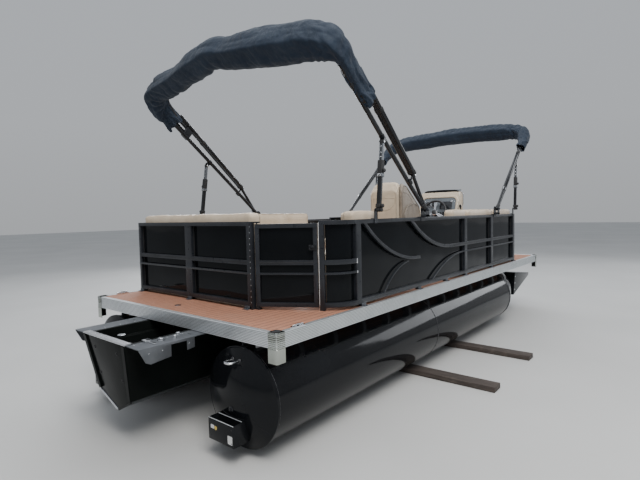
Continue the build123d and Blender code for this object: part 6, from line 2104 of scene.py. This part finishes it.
        # foot eye and its knob
        b2.lathe(f0 - Vector((0.0135, 0, 0)), (1, 0, 0), [(0.0056, 0), (0.0165, 0), (0.0178, 0.002), (0.0178, 0.025), (0.0165, 0.027), (0.0056, 0.027)], 24)
        kn = f0 + outb * 0.0138
        b2.lathe(kn, outb, [(0.006, -0.001), (0.006, 0.004), (0.0165, 0.006), (0.0185, 0.010), (0.0175, 0.018), (0.010, 0.022), (0, 0.0225)], 10)
        b1.done(f"strut_tube_{nm}_{tag}", "tube_satin", sb, SLOT[f"strut_{nm}_{tag}"], 34, (f"strut_{nm}_{tag}",))
        b2.done(f"strut_clamps_{nm}_{tag}", "rubber", sb)
        b3.done(f"strut_screws_{nm}_{tag}", "stainless", sb)

# side plates, saddle clamps over the rail and pins
bf, bs = Build(), Build()
for nm, (fy, mo, gap, sy0, sy1) in BIM.items():
    for sx in (-1, 1):
        for yc, w_ in ((fy, 0.030), (sy0, 0.024)):
            if yc == fy:
                w_ = 0.042
                bf.box(*[tuple(v) for v in zip(*[sorted(q) for q in ((sx * 1.1795, sx * 1.2290), (yc - w_, yc + w_), (1.5895, 1.6170))])], 0.004, 2)
                chk = [(-w_, -0.072), (w_, -0.072), (w_ * 0.8, -0.020)] + \
                      [(0.026 * cos(radians(a)), 0.026 * sin(radians(a))) for a in (0, 30, 60, 90, 120, 150, 180)] + [(-w_ * 0.8, -0.020)]
                bf.prism(chk, plane4((1.2240 if sx > 0 else -1.2290, yc, 1.665), (0, 1, 0), (1, 0, 0)), 0.005, 0.001)
                bs.lathe((sx * 1.2285, yc, 1.665), (sx, 0, 0), [(0.0140, 0), (0.0150, 0.003), (0.0150, 0.014), (0.011, 0.018), (0, 0.019)], 6)
            poly = [(-w_, -0.112), (w_, -0.112), (w_, -0.020)] + \
                   [(w_ * cos(radians(a)), w_ * sin(radians(a)) - 0.008) for a in (20, 45, 70, 90, 110, 135, 160)] + [(-w_, -0.020)]
            m_ = plane4((sx * 1.1742 if sx > 0 else -1.1802, yc, 1.665), (0, 1, 0), (1, 0, 0))
            bf.prism(poly, m_, 0.006, 0.0012)
            lo_x, hi_x = sorted((sx * 1.1395, sx * 1.1745))
            bf.box((lo_x, yc - w_, 1.5898), (hi_x, yc + w_, 1.5945), 0.0015)
            bf.lathe((sx * 1.180, yc, 1.665), (sx, 0, 0), [(0.012, 0), (0.012, 0.0018), (0.005, 0.0022), (0.005, 0.0405), (0, 0.0405)], 18)
            for dy in (-0.6, 0.6):
                for z in (1.566, 1.582):
                    bs.dome((sx * 1.1802, yc + dy * w_, z), (sx, 0, 0), 0.0042, 0.0024)
                bs.dome((sx * 1.157, yc + dy * w_, 1.5945), (0, 0, 1), 0.0042, 0.0024)
            bs.lathe((sx * 1.2195, yc, 1.665), (sx, 0, 0), [(0.0105, 0), (0.0105, 0.0015), (0.0085, 0.002), (0.0085, 0.007), (0.006, 0.009), (0, 0.009)] if yc == fy
                     else [(0.006, -0.001), (0.006, 0.0005), (0, 0.0005)], 6)
bf.done("bimini_side_plates", "rail_black", BODY["bimini_feet"], SLOT["bimini_feet"], 34, ("bimini_feet",))
bs.done("bimini_screws", "rail_grey", BODY["bimini_feet"])
